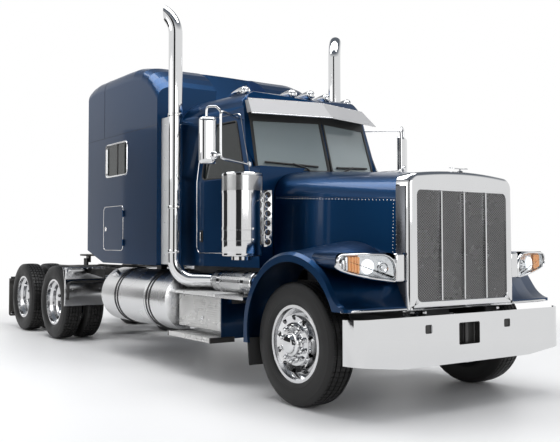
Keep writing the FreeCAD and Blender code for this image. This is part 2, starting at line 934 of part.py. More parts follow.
def rear_suspension(x):
    """One side of a drive axle's springing: a leaf on the axle, its hanger ahead and an air bag behind."""
    bottom = tyre_radius + drive_tube_radius + axle_block
    inside, outside = beam_y - beam_width / 2, beam_y + beam_width / 2
    beam = box(x - beam_rear, x + beam_front, inside, outside, bottom, bottom + beam_leaf)
    block = box(x - beam_block / 2, x + beam_block / 2, inside, outside, tyre_radius + drive_tube_radius / 2,
                bottom)
    block = block.cut(rod(V(x, 0, tyre_radius), V(x, 2 * beam_y, tyre_radius), drive_tube_radius))
    hanger_front = x + beam_front + beam_leaf
    hanger = box(hanger_front - hanger_length, hanger_front, inside, outside, bottom - beam_leaf / 2,
                 rail_bottom)
    bag_x = x - bag_x_back
    bag = rod(V(bag_x, beam_y, bottom + beam_leaf), V(bag_x, beam_y, rail_bottom), bag_radius)
    return joined([beam, block, hanger, bag])


# Cab
def cab_section(x, half, inset):
    """One cross-section of the cab: upright to the belt, leaning in above it, with a crowned roof."""
    side = half - inset
    top = cab_crown - inset
    lean = side - cab_side_lean
    over = [V(x, lean, cab_side_top), V(x, lean - 0.13 * cab_shoulder, top - 0.6 * cab_shoulder),
            V(x, lean - 0.5 * cab_shoulder, top - 0.34 * cab_shoulder),
            V(x, lean - cab_shoulder, top - 0.2 * cab_shoulder),
            V(x, 0, top)]
    return section_under(top_curve(over), [V(x, side, cab_bottom + inset), V(x, side, cab_belt)])


def screen_cutter(inset):
    """The space in front of the left screen plane, moved back by inset."""
    run = V(screen_corner_x - screen_bottom_x, screen_corner_y, 0)
    normal = run.cross(V(-screen_slope, 0, 1))
    normal.normalize()
    if normal.x < 0:
        normal = normal * -1
    reach = 2 * cab_back_half
    slab = Part.makePlane(2 * reach, 2 * reach, V(-reach, -reach, 0)).extrude(V(0, 0, reach))
    slab.Placement = FreeCAD.Placement(V(screen_bottom_x, 0, screen_bottom_z) - normal * inset,
                                       FreeCAD.Rotation(V(0, 0, 1), normal))
    return slab.common(box(cab_back_x, reach, 0, reach, screen_bottom_z, screen_bottom_z + reach))


def cab_loft(inset):
    return Part.makeLoft([cab_section(cab_front_x - inset, cab_front_half, inset),
                          cab_section(cab_back_x + inset, cab_back_half, inset)], True, True)


def cab_volume(inset):
    """The cab filled solid, with its walls moved in by inset."""
    low = cab_bottom - wall
    back_x = cab_back_x + inset
    crown = cab_crown - inset
    start = V(cab_roof_start_x - inset, 0, cab_roof_start_z - inset)
    end = V(back_x, 0, crown - cab_roof_back_drop)
    ahead = start.x - cab_roof_mid_x
    behind = cab_roof_mid_x - end.x
    rise = crown - start.z
    roof = smooth_curve([start, V(start.x - 0.25 * ahead, 0, crown - 0.6 * rise),
                         V(start.x - 0.63 * ahead, 0, crown - 0.2 * rise), V(cab_roof_mid_x, 0, crown),
                         V(end.x + 0.63 * behind, 0, crown - 0.06 * cab_roof_back_drop),
                         V(end.x + 0.28 * behind, 0, crown - 0.33 * cab_roof_back_drop),
                         V(end.x + 0.1 * behind, 0, crown - 0.63 * cab_roof_back_drop), end])
    corners = [end, V(back_x, 0, low), V(cab_front_x + wall, 0, low), V(cab_front_x + wall, 0, start.z),
               start]
    lines = [Part.makeLine(a, b) for a, b in zip(corners, corners[1:])]
    profile = Part.Face(Part.Wire([roof] + lines))
    profile.translate(V(0, -2 * cab_back_half, 0))
    body = cab_loft(inset).common(profile.extrude(V(0, 4 * cab_back_half, 0)))
    cutter = screen_cutter(inset)
    return body.cut(cutter).cut(other_side(cutter))


def door_outline(grow):
    low, high = door_bottom - grow, door_top + grow
    front, back = door_front_x + grow, door_back_x - grow
    return [(front, low), (front, cab_belt), (front - door_post_lean, high), (back, high), (back, low)]


def through_side(points, corner):
    """An outline seen from the side, drawn out across the left wall of the cab or sleeper."""
    return along_y(points, cab_front_half - cab_shoulder, 1.2 * sleeper_half, corner)


def window_outline():
    low, high = cab_belt + door_window_sill, door_top - door_window_drop
    front, back = door_front_x - door_window_front, door_back_x + door_window_back
    return [(front, low), (front - door_window_lean, high), (back, high), (back, low)]


def screen_window():
    """The hole for the left screen pane, looking along X."""
    low = screen_bottom_z + screen_sill
    outline = [(screen_post_half, low), (screen_low_half, low + screen_sill / 3),
               (screen_top_half, screen_top),
               (screen_post_half, screen_top)]
    return along_x(outline, cab_roof_mid_x, cab_front_x + 5 * wall, screen_corner)


def cab_parts():
    """The cab's shell, the screen's panes, the left door and its pane."""
    outer = cab_volume(0)
    shell = outer.cut(cab_volume(wall))
    panes = cab_volume(glass_inset).cut(cab_volume(glass_inset + glass))
    hole = screen_window()
    screen = [panes.common(hole), panes.common(other_side(hole))]
    shell = shell.cut(hole).cut(other_side(hole))
    window = through_side(window_outline(), window_corner)
    door = cab_loft(0).cut(cab_loft(wall)).common(through_side(door_outline(0), door_corner)).cut(window)
    pane = cab_loft(glass_inset).cut(cab_loft(glass_inset + glass)).common(window)
    opening = through_side(door_outline(door_gap), door_corner + door_gap)
    shell = shell.cut(opening).cut(other_side(opening))
    shell = shell.cut(box(cab_back_x - 1, cab_back_x + wall + 1, -passage_half, passage_half, passage_bottom,
                          passage_top))
    fixed = []
    for z in door_hinge_z:
        fixed.append(hinge_fixed(door_hinge_x, door_hinge_y, z, hinge_radius, hinge_length,
                                 door_hinge_x + hinge_seat, cab_front_half).cut(outer))
        door = door.fuse(hinge_moving(door_hinge_x, door_hinge_y, z, hinge_radius, hinge_length,
                                      door_front_x - hinge_foot, cab_front_half).cut(outer))
    shell = joined([shell] + fixed + [other_side(piece) for piece in fixed])
    return shell, screen, door.removeSplitter(), pane


def hinge_fixed(x, y, z, radius, length, seat_x, seat_y):
    """The half of a lift-off hinge that stays on the wall: a knuckle and its pin."""
    knuckle_part = rod(V(x, y, z), V(x, y, z + length / 2 - hinge_gap), radius)
    pin = rod(V(x, y, z), V(x, y, z + length), radius / 2)
    leaf = box(min(x, seat_x), max(x, seat_x), seat_y, y, z, z + length / 2 - hinge_gap)
    return joined([knuckle_part, pin, leaf])


def hinge_moving(x, y, z, radius, length, seat_x, seat_y):
    """The half that swings: a barrel round the pin and the leaf that carries the door."""
    barrel = rod(V(x, y, z + length / 2), V(x, y, z + length), radius)
    leaf = box(min(x, seat_x), max(x, seat_x), y - radius / 3, y + radius / 3, z + length / 2, z + length)
    foot = box(seat_x, seat_x + radius, seat_y, y, z + length / 2, z + length)
    half = joined([barrel, leaf, foot])
    return half.cut(rod(V(x, y, z), V(x, y, z + 2 * length), radius / 2 + hinge_clearance))


# Sleeper
def sleeper_section(x, inset, drop):
    """One cross-section of the sleeper: upright walls, rounded shoulders and a low crown."""
    side = sleeper_half - inset
    top = sleeper_crest - inset - drop
    turn = sleeper_shoulder
    over = [V(x, side, top - 1.5 * turn), V(x, side - 0.08 * turn, top - turn),
            V(x, side - 0.42 * turn, top - 0.5 * turn),
            V(x, side - turn, top - 0.22 * turn), V(x, side - 3 * turn, top - 0.06 * turn), V(x, 0, top)]
    return section_under(top_curve(over), [V(x, side, sleeper_bottom + inset)])


def sleeper_volume(inset):
    """The sleeper filled solid: a domed roof with rounded shoulders and a raked recess between two brows."""
    front = sleeper_front_x - inset
    back = sleeper_back_x + inset
    sections = [sleeper_section(front - sleeper_brow_run * run, inset, sleeper_brow_drop * (1 - run) ** 3.2)
                for run in (0, 0.07, 0.16, 0.28, 0.45, 0.7, 1)]
    sections += [sleeper_section(back + sleeper_tail_run * run, inset, sleeper_tail_drop * (1 - run) ** 2)
                 for run in (1, 0.4, 0)]
    body = Part.makeLoft(sections, True, True)
    low = sleeper_bottom + inset
    rear_cut = along_y([(sleeper_cut_x, low - wall), (sleeper_cut_x, low),
                        (back, sleeper_cut_z + inset * 0.7),
                        (back - wall, sleeper_cut_z + inset * 0.7), (back - wall, low - wall)],
                       -sleeper_half - 1, sleeper_half + 1)
    rise = sleeper_crest - inset
    recess = along_y([(front + 1, recess_front_top - inset), (recess_back_x - inset, rise),
                      (recess_back_x, rise + wall),
                      (front + 1, rise + wall)], -recess_half - inset, recess_half + inset)
    return body.cut(rear_cut).cut(recess)


def sleeper_parts():
    """The sleeper's shell, the left window's pane and the left baggage door."""
    outer = sleeper_volume(0)
    shell = outer.cut(sleeper_volume(wall))
    panes = sleeper_volume(glass_inset).cut(sleeper_volume(glass_inset + glass))
    window = through_side([(sleeper_window_back, sleeper_window_bottom),
                           (sleeper_window_front, sleeper_window_bottom),
                           (sleeper_window_front, sleeper_window_top),
                           (sleeper_window_back, sleeper_window_top)],
                          window_corner)

    def baggage_outline(grow):
        low, high = baggage_bottom - grow, baggage_top + grow
        back, front = baggage_back_x - grow, baggage_front_x + grow
        return through_side([(back, low), (front, low), (front, high), (back, high)], baggage_corner + grow)
    opening = baggage_outline(door_gap)
    door = shell.common(baggage_outline(0))
    pane = panes.common(window)
    passage = box(sleeper_front_x + 1, sleeper_front_x - wall - 1, -passage_half, passage_half,
                  passage_bottom, passage_top)
    shell = shell.cut(window).cut(other_side(window)).cut(opening).cut(other_side(opening)).cut(passage)
    fixed = []
    hinge_x = baggage_front_x + baggage_hinge_forward
    hinge_y = sleeper_half + baggage_hinge_out
    for z in baggage_hinge_z:
        fixed.append(hinge_fixed(hinge_x, hinge_y, z, baggage_hinge_radius, baggage_hinge_length,
                                 hinge_x + baggage_hinge_seat, sleeper_half))
        door = door.fuse(hinge_moving(hinge_x, hinge_y, z, baggage_hinge_radius, baggage_hinge_length,
                                      baggage_front_x - baggage_hinge_foot, sleeper_half))
    shell = joined([shell] + [piece.cut(outer) for piece in fixed + [other_side(piece) for piece in fixed]])
    return shell, pane, door.removeSplitter()


def cab_mounts():
    places = [(x, cab_bottom) for x in cab_mount_x] + [(x, sleeper_bottom) for x in sleeper_mount_x]
    mounts = []
    for x, top in places:
        mounts += both_sides(box(x - mount_length / 2, x + mount_length / 2, rail_y - rail_flange, rail_y,
                                 rail_top, top))
    return mounts


def cab_boot():
    half, low, high = passage_half + boot_rim, passage_bottom - boot_rim, passage_top + boot_rim
    outer = along_x(rectangle(half, low, high), sleeper_front_x, cab_back_x, boot_rim)
    return outer.cut(box(sleeper_front_x - 1, cab_back_x + 1, -passage_half, passage_half, passage_bottom,
                         passage_top))


# Hood, grille surround and fenders
def nose_curve(x, inset, half_bottom, half_top, rise, bottom):
    """One cross-section of the nose: near-flat sides, a rounded shoulder and a crowned top."""
    top = nose_side_top + rise
    crown = nose_crown + rise - inset
    side = half_top - inset
    drop = crown - top
    over = [V(x, side, top), V(x, side - 0.15 * nose_shoulder, top + 0.36 * drop),
            V(x, side - 0.45 * nose_shoulder, top + 0.6 * drop),
            V(x, side - 0.9 * nose_shoulder, top + 0.77 * drop),
            V(x, side - 1.6 * nose_shoulder, top + 0.885 * drop), V(x, 0, crown)]
    return section_under(top_curve(over), [V(x, half_bottom - inset, bottom)])


def hood_volume(inset):
    """The hood filled solid, its walls moved in by inset and its ends very nearly kept."""
    low = nose_bottom - inset * 10
    front = nose_curve(hood_front_x + inset * 0.1, inset, nose_half, nose_side_half, 0, low)
    rear = nose_curve(hood_rear_x - inset * 0.1, inset, hood_rear_half, hood_rear_half - hood_rear_lean,
                      hood_rear_rise, low)
    return Part.makeLoft([front, rear], True, True)


def wheel_tunnel(radius, y0, y1):
    return rod(V(arch_x, min(y0, y1), arch_z), V(arch_x, max(y0, y1), arch_z), radius)


def hood_shell():
    shell = hood_volume(0).cut(hood_volume(hood_wall))
    for side in (1, -1):
        inside, outside = side * rail_y, side * hood_rear_half * 1.2
        shell = shell.cut(wheel_tunnel(arch_tunnel, inside, outside))
        shell = shell.cut(box(arch_x, hood_rear_x - hood_wall, inside, outside, nose_bottom - 2 * hood_wall,
                              hood_bottom))
    return shell


def nose_block(inset, back_x, front_x, edge, bottom):
    """The nose from back_x to front_x, its front edge rounded off by edge."""
    wires = [nose_curve(back_x, inset, nose_half, nose_side_half, 0, bottom),
             nose_curve(front_x - edge, inset, nose_half, nose_side_half, 0, bottom)]
    if edge:
        wires += [nose_curve(front_x - 0.3 * edge, inset + 0.3 * edge, nose_half, nose_side_half, 0, bottom),
                  nose_curve(front_x, inset + edge, nose_half, nose_side_half, 0, bottom)]
    return Part.makeLoft(wires, True, True)


def grille_surround():
    outer = nose_block(0, hood_front_x, nose_x, nose_edge, nose_bottom)
    inner = nose_block(hood_wall, hood_front_x - hood_wall, nose_x - hood_wall, nose_edge - hood_wall,
                       nose_bottom + hood_wall)
    inner = inner.fuse(box(hood_front_x - hood_wall, nose_return_x, -nose_half + hood_wall,
                           nose_half - hood_wall,
                           nose_bottom - 1, nose_bottom + 2 * hood_wall))
    opening = along_x(rectangle(grille_half, grille_bottom, grille_top), nose_x - 2 * nose_edge, nose_x + 1,
                      grille_corner)
    ear_y = rail_y + mount_wall + 1
    ear = box(hood_pivot_x - ear_radius, hood_pivot_x + ear_radius, ear_y, ear_y + hood_ear, hood_pivot_z,
              nose_bottom + hood_wall)
    ear = ear.fuse(rod(V(hood_pivot_x, ear_y, hood_pivot_z), V(hood_pivot_x, ear_y + hood_ear, hood_pivot_z),
                       ear_radius))
    body = joined([outer.cut(inner).cut(opening)] + both_sides(ear))
    return body.cut(rod(V(hood_pivot_x, -nose_half, hood_pivot_z), V(hood_pivot_x, nose_half, hood_pivot_z),
                        hood_pin_radius + hood_pin_clearance))


def grille():
    """A sheet pierced by rows of diamonds, with a frame behind the surround and three bright dividers."""
    back = nose_x - 2 * hood_wall
    frame = along_x(rectangle(grille_half + hood_wall, grille_bottom - hood_wall, grille_top + hood_wall),
                    back, nose_x - hood_wall, grille_corner)
    clear = along_x(rectangle(grille_half - mesh_bar, grille_bottom + mesh_bar, grille_top - mesh_bar),
                    back - 1, nose_x, grille_corner)
    width = 2 * (grille_half - mesh_bar) / mesh_columns
    height = (grille_top - grille_bottom - 2 * mesh_bar) / mesh_rows
    across = width / 4 - mesh_bar * 0.3
    tall = height / 4 - mesh_bar * 0.3
    edge = outline_face([V(back, y, z) for y, z in rectangle(grille_half, grille_bottom, grille_top)],
                        grille_corner)
    wires = [edge.OuterWire]
    for row in range(2 * mesh_rows - 1):
        z = grille_bottom + mesh_bar + (row + 1) * height / 2
        for column in range(mesh_columns - row % 2):
            y = -grille_half + mesh_bar + (column + 0.5 + 0.5 * (row % 2)) * width
            corners = [V(back, y - across, z), V(back, y, z - tall), V(back, y + across, z),
                       V(back, y, z + tall)]
            wires.append(Part.makePolygon(corners + [corners[0]]))
    sheet = Part.makeFace(wires, "Part::FaceMakerBullseye").extrude(V(mesh_sheet, 0, 0))
    dividers = [box(back, nose_x + divider_width / 2, y - divider_width / 2, y + divider_width / 2,
                    grille_bottom + divider_gap, grille_top - divider_gap)
                for y in (-grille_half / 2, 0, grille_half / 2)]
    return joined([frame.cut(clear), sheet] + dividers)


def fender_section(y, inset, inward):
    """The fender seen from the side at y: an arch whose front is drawn forward to the lip.

    inward runs from 0 at the outer edge to 1 beside the nose, where the fender stands higher and fuller."""
    reach = arch_outside - inset
    front = fender_front_x + inward * (fender_inner_front_x - fender_front_x) - inset
    points = [V(arch_x - reach, y, fender_rear_bottom)]
    steps = 9
    for step in range(steps + 1):
        turn = math.radians(180 - (180 - fender_front_turn) * step / steps)
        fuller = fender_inner_rise * math.sin(turn) + fender_inner_reach * max(0, math.sin(2 * turn))
        radius = reach + inward * fuller
        points.append(V(arch_x + radius * math.cos(turn), y, arch_z + radius * math.sin(turn)))
    points.append(V(front, y, fender_front_bottom + fender_edge))
    low = fender_rear_bottom - arch_outside / 2
    corners = [points[-1], V(front, y, low), V(points[0].x, y, low), points[0]]
    return Part.Wire([smooth_curve(points)] + [Part.makeLine(a, b) for a, b in zip(corners, corners[1:])])


def nose_body():
    """The whole nose as one solid, for cutting what stands on it."""
    nose = nose_block(0, hood_front_x - hood_wall, nose_x + nose_edge, 0, nose_bottom)
    return nose.fuse(box(hood_front_x - hood_wall, nose_x + nose_edge, -nose_half, nose_half,
                         nose_bottom / 2, nose_bottom))


def fender_volume(inset):
    span = fender_half - fender_start_half
    wires = [fender_section(fender_start_half, inset, 1),
             fender_section(fender_half - 0.62 * span, inset, 0.62),
             fender_section(fender_half - 0.3 * span, inset, 0.22),
             fender_section(fender_half - fender_edge, inset, 0)]
    if inset:
        return Part.makeLoft(wires, True, True)
    return Part.makeLoft(wires + [fender_section(fender_half, fender_edge, 0)], True, True)


def fender():
    shell = fender_volume(0).cut(fender_volume(fender_wall))
    shell = shell.cut(wheel_tunnel(arch_inside, fender_start_half - 1, fender_half + 1))
    shell = shell.cut(box(arch_x, fender_inner_front_x + fender_wall, 0, fender_half + 1, 0,
                          fender_front_bottom))
    shell = shell.cut(box(arch_x, arch_x - arch_outside - 1, 0, fender_half + 1, 0, fender_rear_bottom))
    return shell.cut(hood_volume(0)).cut(nose_body())


def headlamp():
    """A slant-ended pod that reaches back into the fender, with a neck at the nose."""
    corners = [V(0, headlamp_inner_y, headlamp_bottom), V(0, headlamp_outer_y, headlamp_outer_bottom),
               V(0, headlamp_outer_y, headlamp_top), V(0, headlamp_inner_y, headlamp_top)]
    pod = Part.Face(Part.makePolygon(corners + [corners[0]])).extrude(V(-headlamp_depth, 0, 0))
    pod = pod.makeFillet(headlamp_corner, [e for e in pod.Edges if e.BoundBox.XLength > headlamp_depth / 2])
    pod = pod.makeFillet(headlamp_corner / 3, [e for e in pod.Edges if e.BoundBox.XMin > -1])
    neck = box(-headlamp_depth, 0, nose_half, headlamp_inner_y + headlamp_corner,
               headlamp_bottom + headlamp_corner / 3,
               headlamp_top - headlamp_corner)
    post = rod(V(-neck_width / 2, nose_half + neck_width / 2, headlamp_bottom),
               V(-neck_width / 2, nose_half + neck_width / 2, headlamp_top), neck_width / 2)
    pod = joined([pod, neck, post])
    pod.rotate(V(0, nose_half, 0), V(0, 0, 1), headlamp_sweep)
    pod.translate(V(headlamp_front_x, 0, 0))
    return pod.cut(fender_volume(0)).cut(hood_volume(0)).cut(nose_body())


# Bumper
def bumper_plan(inset):
    """The bumper seen from above, filled: a flat face whose ends curve back, tangent to it."""
    edge, face = bumper_half - inset, front_overhang - inset
    end = front_overhang - bumper_wrap
    across, wrap = edge - bumper_flat_half, face - end
    radius = (wrap ** 2 + across ** 2) / (2 * wrap)
    half_turn = math.asin(across / radius) / 2
    start, stop = V(face, bumper_flat_half, bumper_bottom), V(end, edge, bumper_bottom)
    middle = start + V(radius * (math.cos(half_turn) - 1), radius * math.sin(half_turn), 0)
    turn = Part.Arc(start, middle, stop).toShape()
    face_line = Part.makeLine(V(face, -bumper_flat_half, bumper_bottom), start)
    back_line = Part.makeLine(stop, V(end, -edge, bumper_bottom))
    return Part.Face(Part.Wire([face_line, turn, back_line, other_side(turn)]))


def bumper():
    height = V(0, 0, bumper_top - bumper_bottom)
    shell = bumper_plan(0).extrude(height).cut(bumper_plan(bumper_wall).extrude(height))
    past = bumper_half + 1
    back, front = front_overhang - 2 * bumper_wrap, front_overhang + 1
    wedge = along_x([(bumper_taper_y, bumper_bottom - 1), (past, bumper_bottom - 1), (past, bumper_taper_z)],
                    back, front)
    hook = along_x([(hook_y - hook_half, hook_bottom), (hook_y + hook_half, hook_bottom),
                    (hook_y + hook_half, hook_top),
                    (hook_y - hook_half, hook_top)], back + bumper_wrap, front, tow_corner)
    for cutter in both_sides(wedge) + both_sides(hook):
        shell = shell.cut(cutter)
    shell = shell.cut(along_x(rectangle(tow_half, tow_bottom, tow_top), back + bumper_wrap, front,
                              tow_corner))
    inner = front_overhang - bumper_wall
    lip_z = bumper_top - mount_top_gap
    side = [(mount_back_x, mount_step_z), (mount_front_x, mount_step_z),
            (mount_front_x + mount_round, hood_pivot_z + mount_round),
            (hood_pivot_x + mount_round, hood_pivot_z + mount_round), (hood_pivot_x + mount_round, lip_z),
            (inner, lip_z),
            (inner, mount_toe_z), (rail_front_x + rail_wall, mount_foot_z),
            (rail_front_x + rail_wall, rail_bottom + rail_wall),
            (mount_back_x, rail_bottom + rail_wall)]
    mount = along_y(side, rail_y, rail_y + mount_wall)
    pin_end = rail_y + mount_wall + hood_ear + bumper_wall
    pin = rod(V(hood_pivot_x, rail_y, hood_pivot_z), V(hood_pivot_x, pin_end, hood_pivot_z), hood_pin_radius)
    return joined([shell] + both_sides(joined([mount, pin])))


# Tanks, boxes and steps
def tank():
    """A fuel tank with domed ends, its straps and their arms to the rail, and a leaning filler cap."""
    back, front = tank_back_x + tank_dome, tank_front_x - tank_dome
    parts = [rod(V(back, tank_y, tank_z), V(front, tank_y, tank_z), tank_radius)]
    for x, way in ((back, -1), (front, 1)):
        centre, rim_edge = V(x, tank_y, tank_z), V(x, tank_y + tank_radius, tank_z)
        crown = V(x + way * tank_dome, tank_y, tank_z)
        arc = Part.Arc(rim_edge, V(x + way * tank_dome * 0.8, tank_y + tank_radius * 0.6, tank_z),
                       crown).toShape()
        dome = Part.Face(Part.Wire([Part.makeLine(centre, rim_edge), arc, Part.makeLine(crown, centre)]))
        parts.append(dome.revolve(centre, V(1, 0, 0), 360))
    for x in strap_x:
        low, high = x - strap_width / 2, x + strap_width / 2
        parts.append(rod(V(low, tank_y, tank_z), V(high, tank_y, tank_z), tank_radius + strap_wall))
        parts.append(box(low, high, rail_y, tank_y, strap_arm_bottom, strap_arm_top))
    lean = math.radians(tank_cap_lean)
    way = V(0, math.sin(lean), math.cos(lean))
    root = V(tank_cap_x, tank_y, tank_z)
    parts.append(rod(root + way * (tank_radius - tank_cap_height),
                     root + way * (tank_radius + tank_cap_height),
                     tank_cap_radius))
    return joined(parts)


def step_box():
    """The battery box on its bracket, the upper tread on a post and web, and the hung lower tread."""
    body = along_x([(box_inside, box_bottom), (box_outside, box_bottom), (box_outside, box_top),
                    (box_inside, box_top)],
                   box_back_x, box_front_x, box_edge)
    bracket = box(box_back_x + box_bracket_inset, box_front_x - box_bracket_inset, rail_y,
                  box_inside + box_edge,
                  rail_bottom, box_top - box_edge)
    under = upper_step_z - step_wall
    upper = box(upper_step_back_x, upper_step_front_x, upper_step_inside, upper_step_outside, under,
                upper_step_z)
    post = box(step_post_x, step_post_x + step_wall, rail_y, box_web_outside, rail_bottom + 2 * box_edge,
               under)
    back, front = box_back_x + box_web_inset, box_front_x - box_web_inset
    web = box(back, front, box_web_inside, box_web_outside, box_top, under)
    lower = box(box_back_x - lower_step_past, box_front_x - lower_step_past, lower_step_inside,
                lower_step_outside,
                lower_step_z - step_wall, lower_step_z)
    legs = box(back, front, lower_step_inside, lower_step_inside + lower_step_leg, lower_step_z, box_bottom)
    return joined([body, bracket, upper, post, web, lower, legs])


def canister():
    body = rod(V(canister_back_x, canister_y, canister_z), V(canister_front_x, canister_y, canister_z),
               canister_radius)
    parts = [body]
    for x in (canister_back_x + 2 * saddle_width, canister_front_x - 3 * saddle_width):
        parts.append(box(x, x + saddle_width, canister_y - saddle_width, canister_y + saddle_width,
                         upper_step_z, canister_z))
        parts.append(rod(V(x, canister_y, canister_z), V(x + saddle_width, canister_y, canister_z),
                         canister_radius + canister_band))
    floor = box(canister_back_x, canister_front_x, 0, canister_y + 2 * canister_radius, 0, upper_step_z)
    return joined(parts).cut(floor)


def bend(start, run, toward, bend_radius, turn, radius):
    """A round bar that leaves start along run and curves by turn degrees toward one side."""
    disc_face = Part.Face(Part.Wire(Part.makeCircle(radius, start, run)))
    return disc_face.revolve(start + toward * bend_radius, run.cross(toward), turn)


def stack_pipe(radius):
    """The pipe as a solid bar: from the canister through the elbow and up to the turned-out tip."""
    toward = V(canister_back_x - stack_x, canister_y - stack_y, 0)
    toward.normalize()
    up = V(0, 0, 1)
    elbow_top = V(stack_x, stack_y, canister_z + elbow_radius)
    elbow_end = V(stack_x, stack_y, canister_z) + toward * elbow_radius
    heading = math.radians(stack_tip_heading)
    outward = V(-math.cos(heading), math.sin(heading), 0)
    outside = stack_tip_radius + stack_radius
    cut_turn = math.acos(1 - (2 * stack_radius + stack_tip_cut) / outside)
    bend_start = V(stack_x, stack_y, stack_top - outside * math.sin(cut_turn))
    return joined([rod(V(canister_back_x, canister_y, canister_z) + toward * stack_radius, elbow_end, radius),
                   bend(elbow_top, up * -1, toward, elbow_radius, 90, radius),
                   rod(elbow_top, bend_start, radius),
                   bend(bend_start, up, outward, stack_tip_radius, stack_tip_turn, radius)])


def stack():
    pipe = stack_pipe(stack_radius)
    bore = stack_pipe(stack_radius - stack_wall)
    heading = math.radians(stack_tip_heading)
    reach = stack_radius + stack_tip_cut
    cutter = box(reach, 6 * reach, -3 * reach, 3 * reach, stack_top - 6 * reach, stack_top + reach)
    cutter.rotate(V(0, 0, 0), V(0, 0, 1), 180 - math.degrees(heading))
    cutter.translate(V(stack_x, stack_y, 0))
    brackets = [box(shield_front_x, stack_x, shield_y, shield_y + 4 * shield_wall, z,
                    z + stack_bracket_height)
                for z in stack_bracket_z]
    past_end = box(canister_back_x, canister_front_x, 0, 2 * canister_y, 0, canister_z + elbow_radius)
    return joined([pipe] + brackets).cut(bore).cut(cutter).cut(past_end)


def stack_shield():
    return box(sleeper_front_x, shield_front_x, shield_y, shield_y + shield_wall, shield_bottom, shield_top)


def air_cleaner():
    """A canister with a narrow outlet below, clamp bands, two brackets to the cowl and a bar of lights."""
    body = rod(V(cleaner_x, cleaner_y, cleaner_bottom), V(cleaner_x, cleaner_y, cleaner_top), cleaner_radius)
    body = body.makeFillet(cleaner_band * 3, [e for e in body.Edges if e.BoundBox.ZLength < 1])
    parts = [body, rod(V(cleaner_x, cleaner_y, cleaner_bottom - cleaner_outlet_drop),
                       V(cleaner_x, cleaner_y, cleaner_bottom + 1), cleaner_outlet)]
    for z in cleaner_band_z:
        parts.append(rod(V(cleaner_x, cleaner_y, z), V(cleaner_x, cleaner_y, z + cleaner_band_height),
                         cleaner_radius + cleaner_band))
    cowl = box(cab_front_x, 0, 0, cab_front_half, 0, cab_crown)
    for z in cleaner_bracket_z:
        bracket = box(cab_front_x - 2 * wall, cleaner_x, cab_front_half - wall, cleaner_y, z,
                      z + stack_bracket_height)
        parts.append(bracket.cut(cab_volume(0)).cut(cowl))
    back = light_bar_x - light_bar_depth / 2
    front = light_bar_x + light_bar_depth / 2
    parts.append(box(back, front, light_bar_y - light_bar_width / 2, light_bar_y + light_bar_width / 2,
                     light_bar_bottom, light_bar_top))
    pitch = (light_bar_top - light_bar_bottom) / light_count
    for index in range(light_count):
        z = light_bar_bottom + (index + 0.5) * pitch
        parts.append(rod(V(light_bar_x, light_bar_y, z), V(front + light_bar_depth / 2, light_bar_y, z),
                         light_radius))
    for z in (light_bar_bottom + pitch, light_bar_top - pitch):
        parts.append(box(back, cleaner_x, light_bar_y, cleaner_y, z, z + light_bar_depth / 2))
    return joined(parts)


# Roof and glass trim
def sun_visor():
    """Two sheets that meet in a V at the middle, on four plates that stand on the roof."""
    low_centre, top_centre = V(visor_low_x, 0, visor_low_z), V(visor_top_x, 0, visor_top_z)
    low_corner = V(visor_corner_x, visor_corner_y, visor_corner_z)
    top_corner = V(visor_top_corner_x, visor_top_corner_y, visor_top_corner_z)
    inward = V(-visor_wall, 0, -visor_wall)
    half = outline_face([low_centre, low_corner, top_corner]).extrude(inward)
    half = half.fuse(outline_face([low_centre, top_corner, top_centre]).extrude(inward))
    parts = both_sides(half)
    for y in visor_plate_y:
        low_x = low_centre.x + (low_corner.x - low_centre.x) * y / visor_corner_y - visor_plate_inset
        top_x = top_centre.x + (top_corner.x - top_centre.x) * y / visor_top_corner_y - visor_wall
        back_x = top_x - 5 * visor_plate_inset
        outline = [(low_x, visor_plate_bottom), (top_x, visor_top_z - visor_wall),
                   (back_x, visor_top_z - visor_wall),
                   (back_x, visor_plate_bottom)]
        parts += both_sides(along_y(outline, y - visor_plate / 2, y + visor_plate / 2))
    return joined(parts).cut(cab_volume(0))


def roof_lamp(x, y, z):
    """A marker lamp: a round face ahead and a body that tapers to a point behind, on a foot."""
    front, back = x + roof_lamp_front, x + roof_lamp_front - roof_lamp_length
    side = smooth_curve([V(front, y, z + 0.94 * roof_lamp_radius),
                         V(front - 0.3 * roof_lamp_length, y, z + roof_lamp_radius),
                         V(front - 0.7 * roof_lamp_length, y, z + 0.6 * roof_lamp_radius), V(back, y, z)])
    outline = [Part.makeLine(V(front, y, z), V(front, y, z + 0.94 * roof_lamp_radius)), side,
               Part.makeLine(V(back, y, z), V(front, y, z))]
    body = Part.Face(Part.Wire(outline)).revolve(V(x, y, z), V(1, 0, 0), 360)
    foot = box(x - roof_lamp_front, x + roof_lamp_foot, y - roof_lamp_foot / 2, y + roof_lamp_foot / 2,
               z - 4 * roof_lamp_radius, z)
    return joined([body, foot]).cut(cab_volume(0))


def roof_lamps():
    lamps = []
    for x, y, z in roof_lamp_places:
        lamps += both_sides(roof_lamp(x, y, z)) if y else [roof_lamp(x, y, z)]
    return lamps


def seats():
    """A driver's and a passenger's seat: cushion and backrest on a pedestal that stands on the cab floor."""
    cushion = box(seat_back_x, seat_front_x, seat_inside, seat_outside, seat_bottom,
                  seat_bottom + seat_cushion)
    rest = box(seat_rest_x, seat_rest_front_x, seat_inside, seat_outside, seat_rest_bottom, seat_rest_top)
    padded = [pad.makeFillet(seat_edge, pad.Edges) for pad in (cushion, rest)]
    pedestal = box(*seat_post_x, *seat_post_y, cab_bottom + wall, seat_bottom + seat_edge)
    return both_sides(joined(padded + [pedestal]))


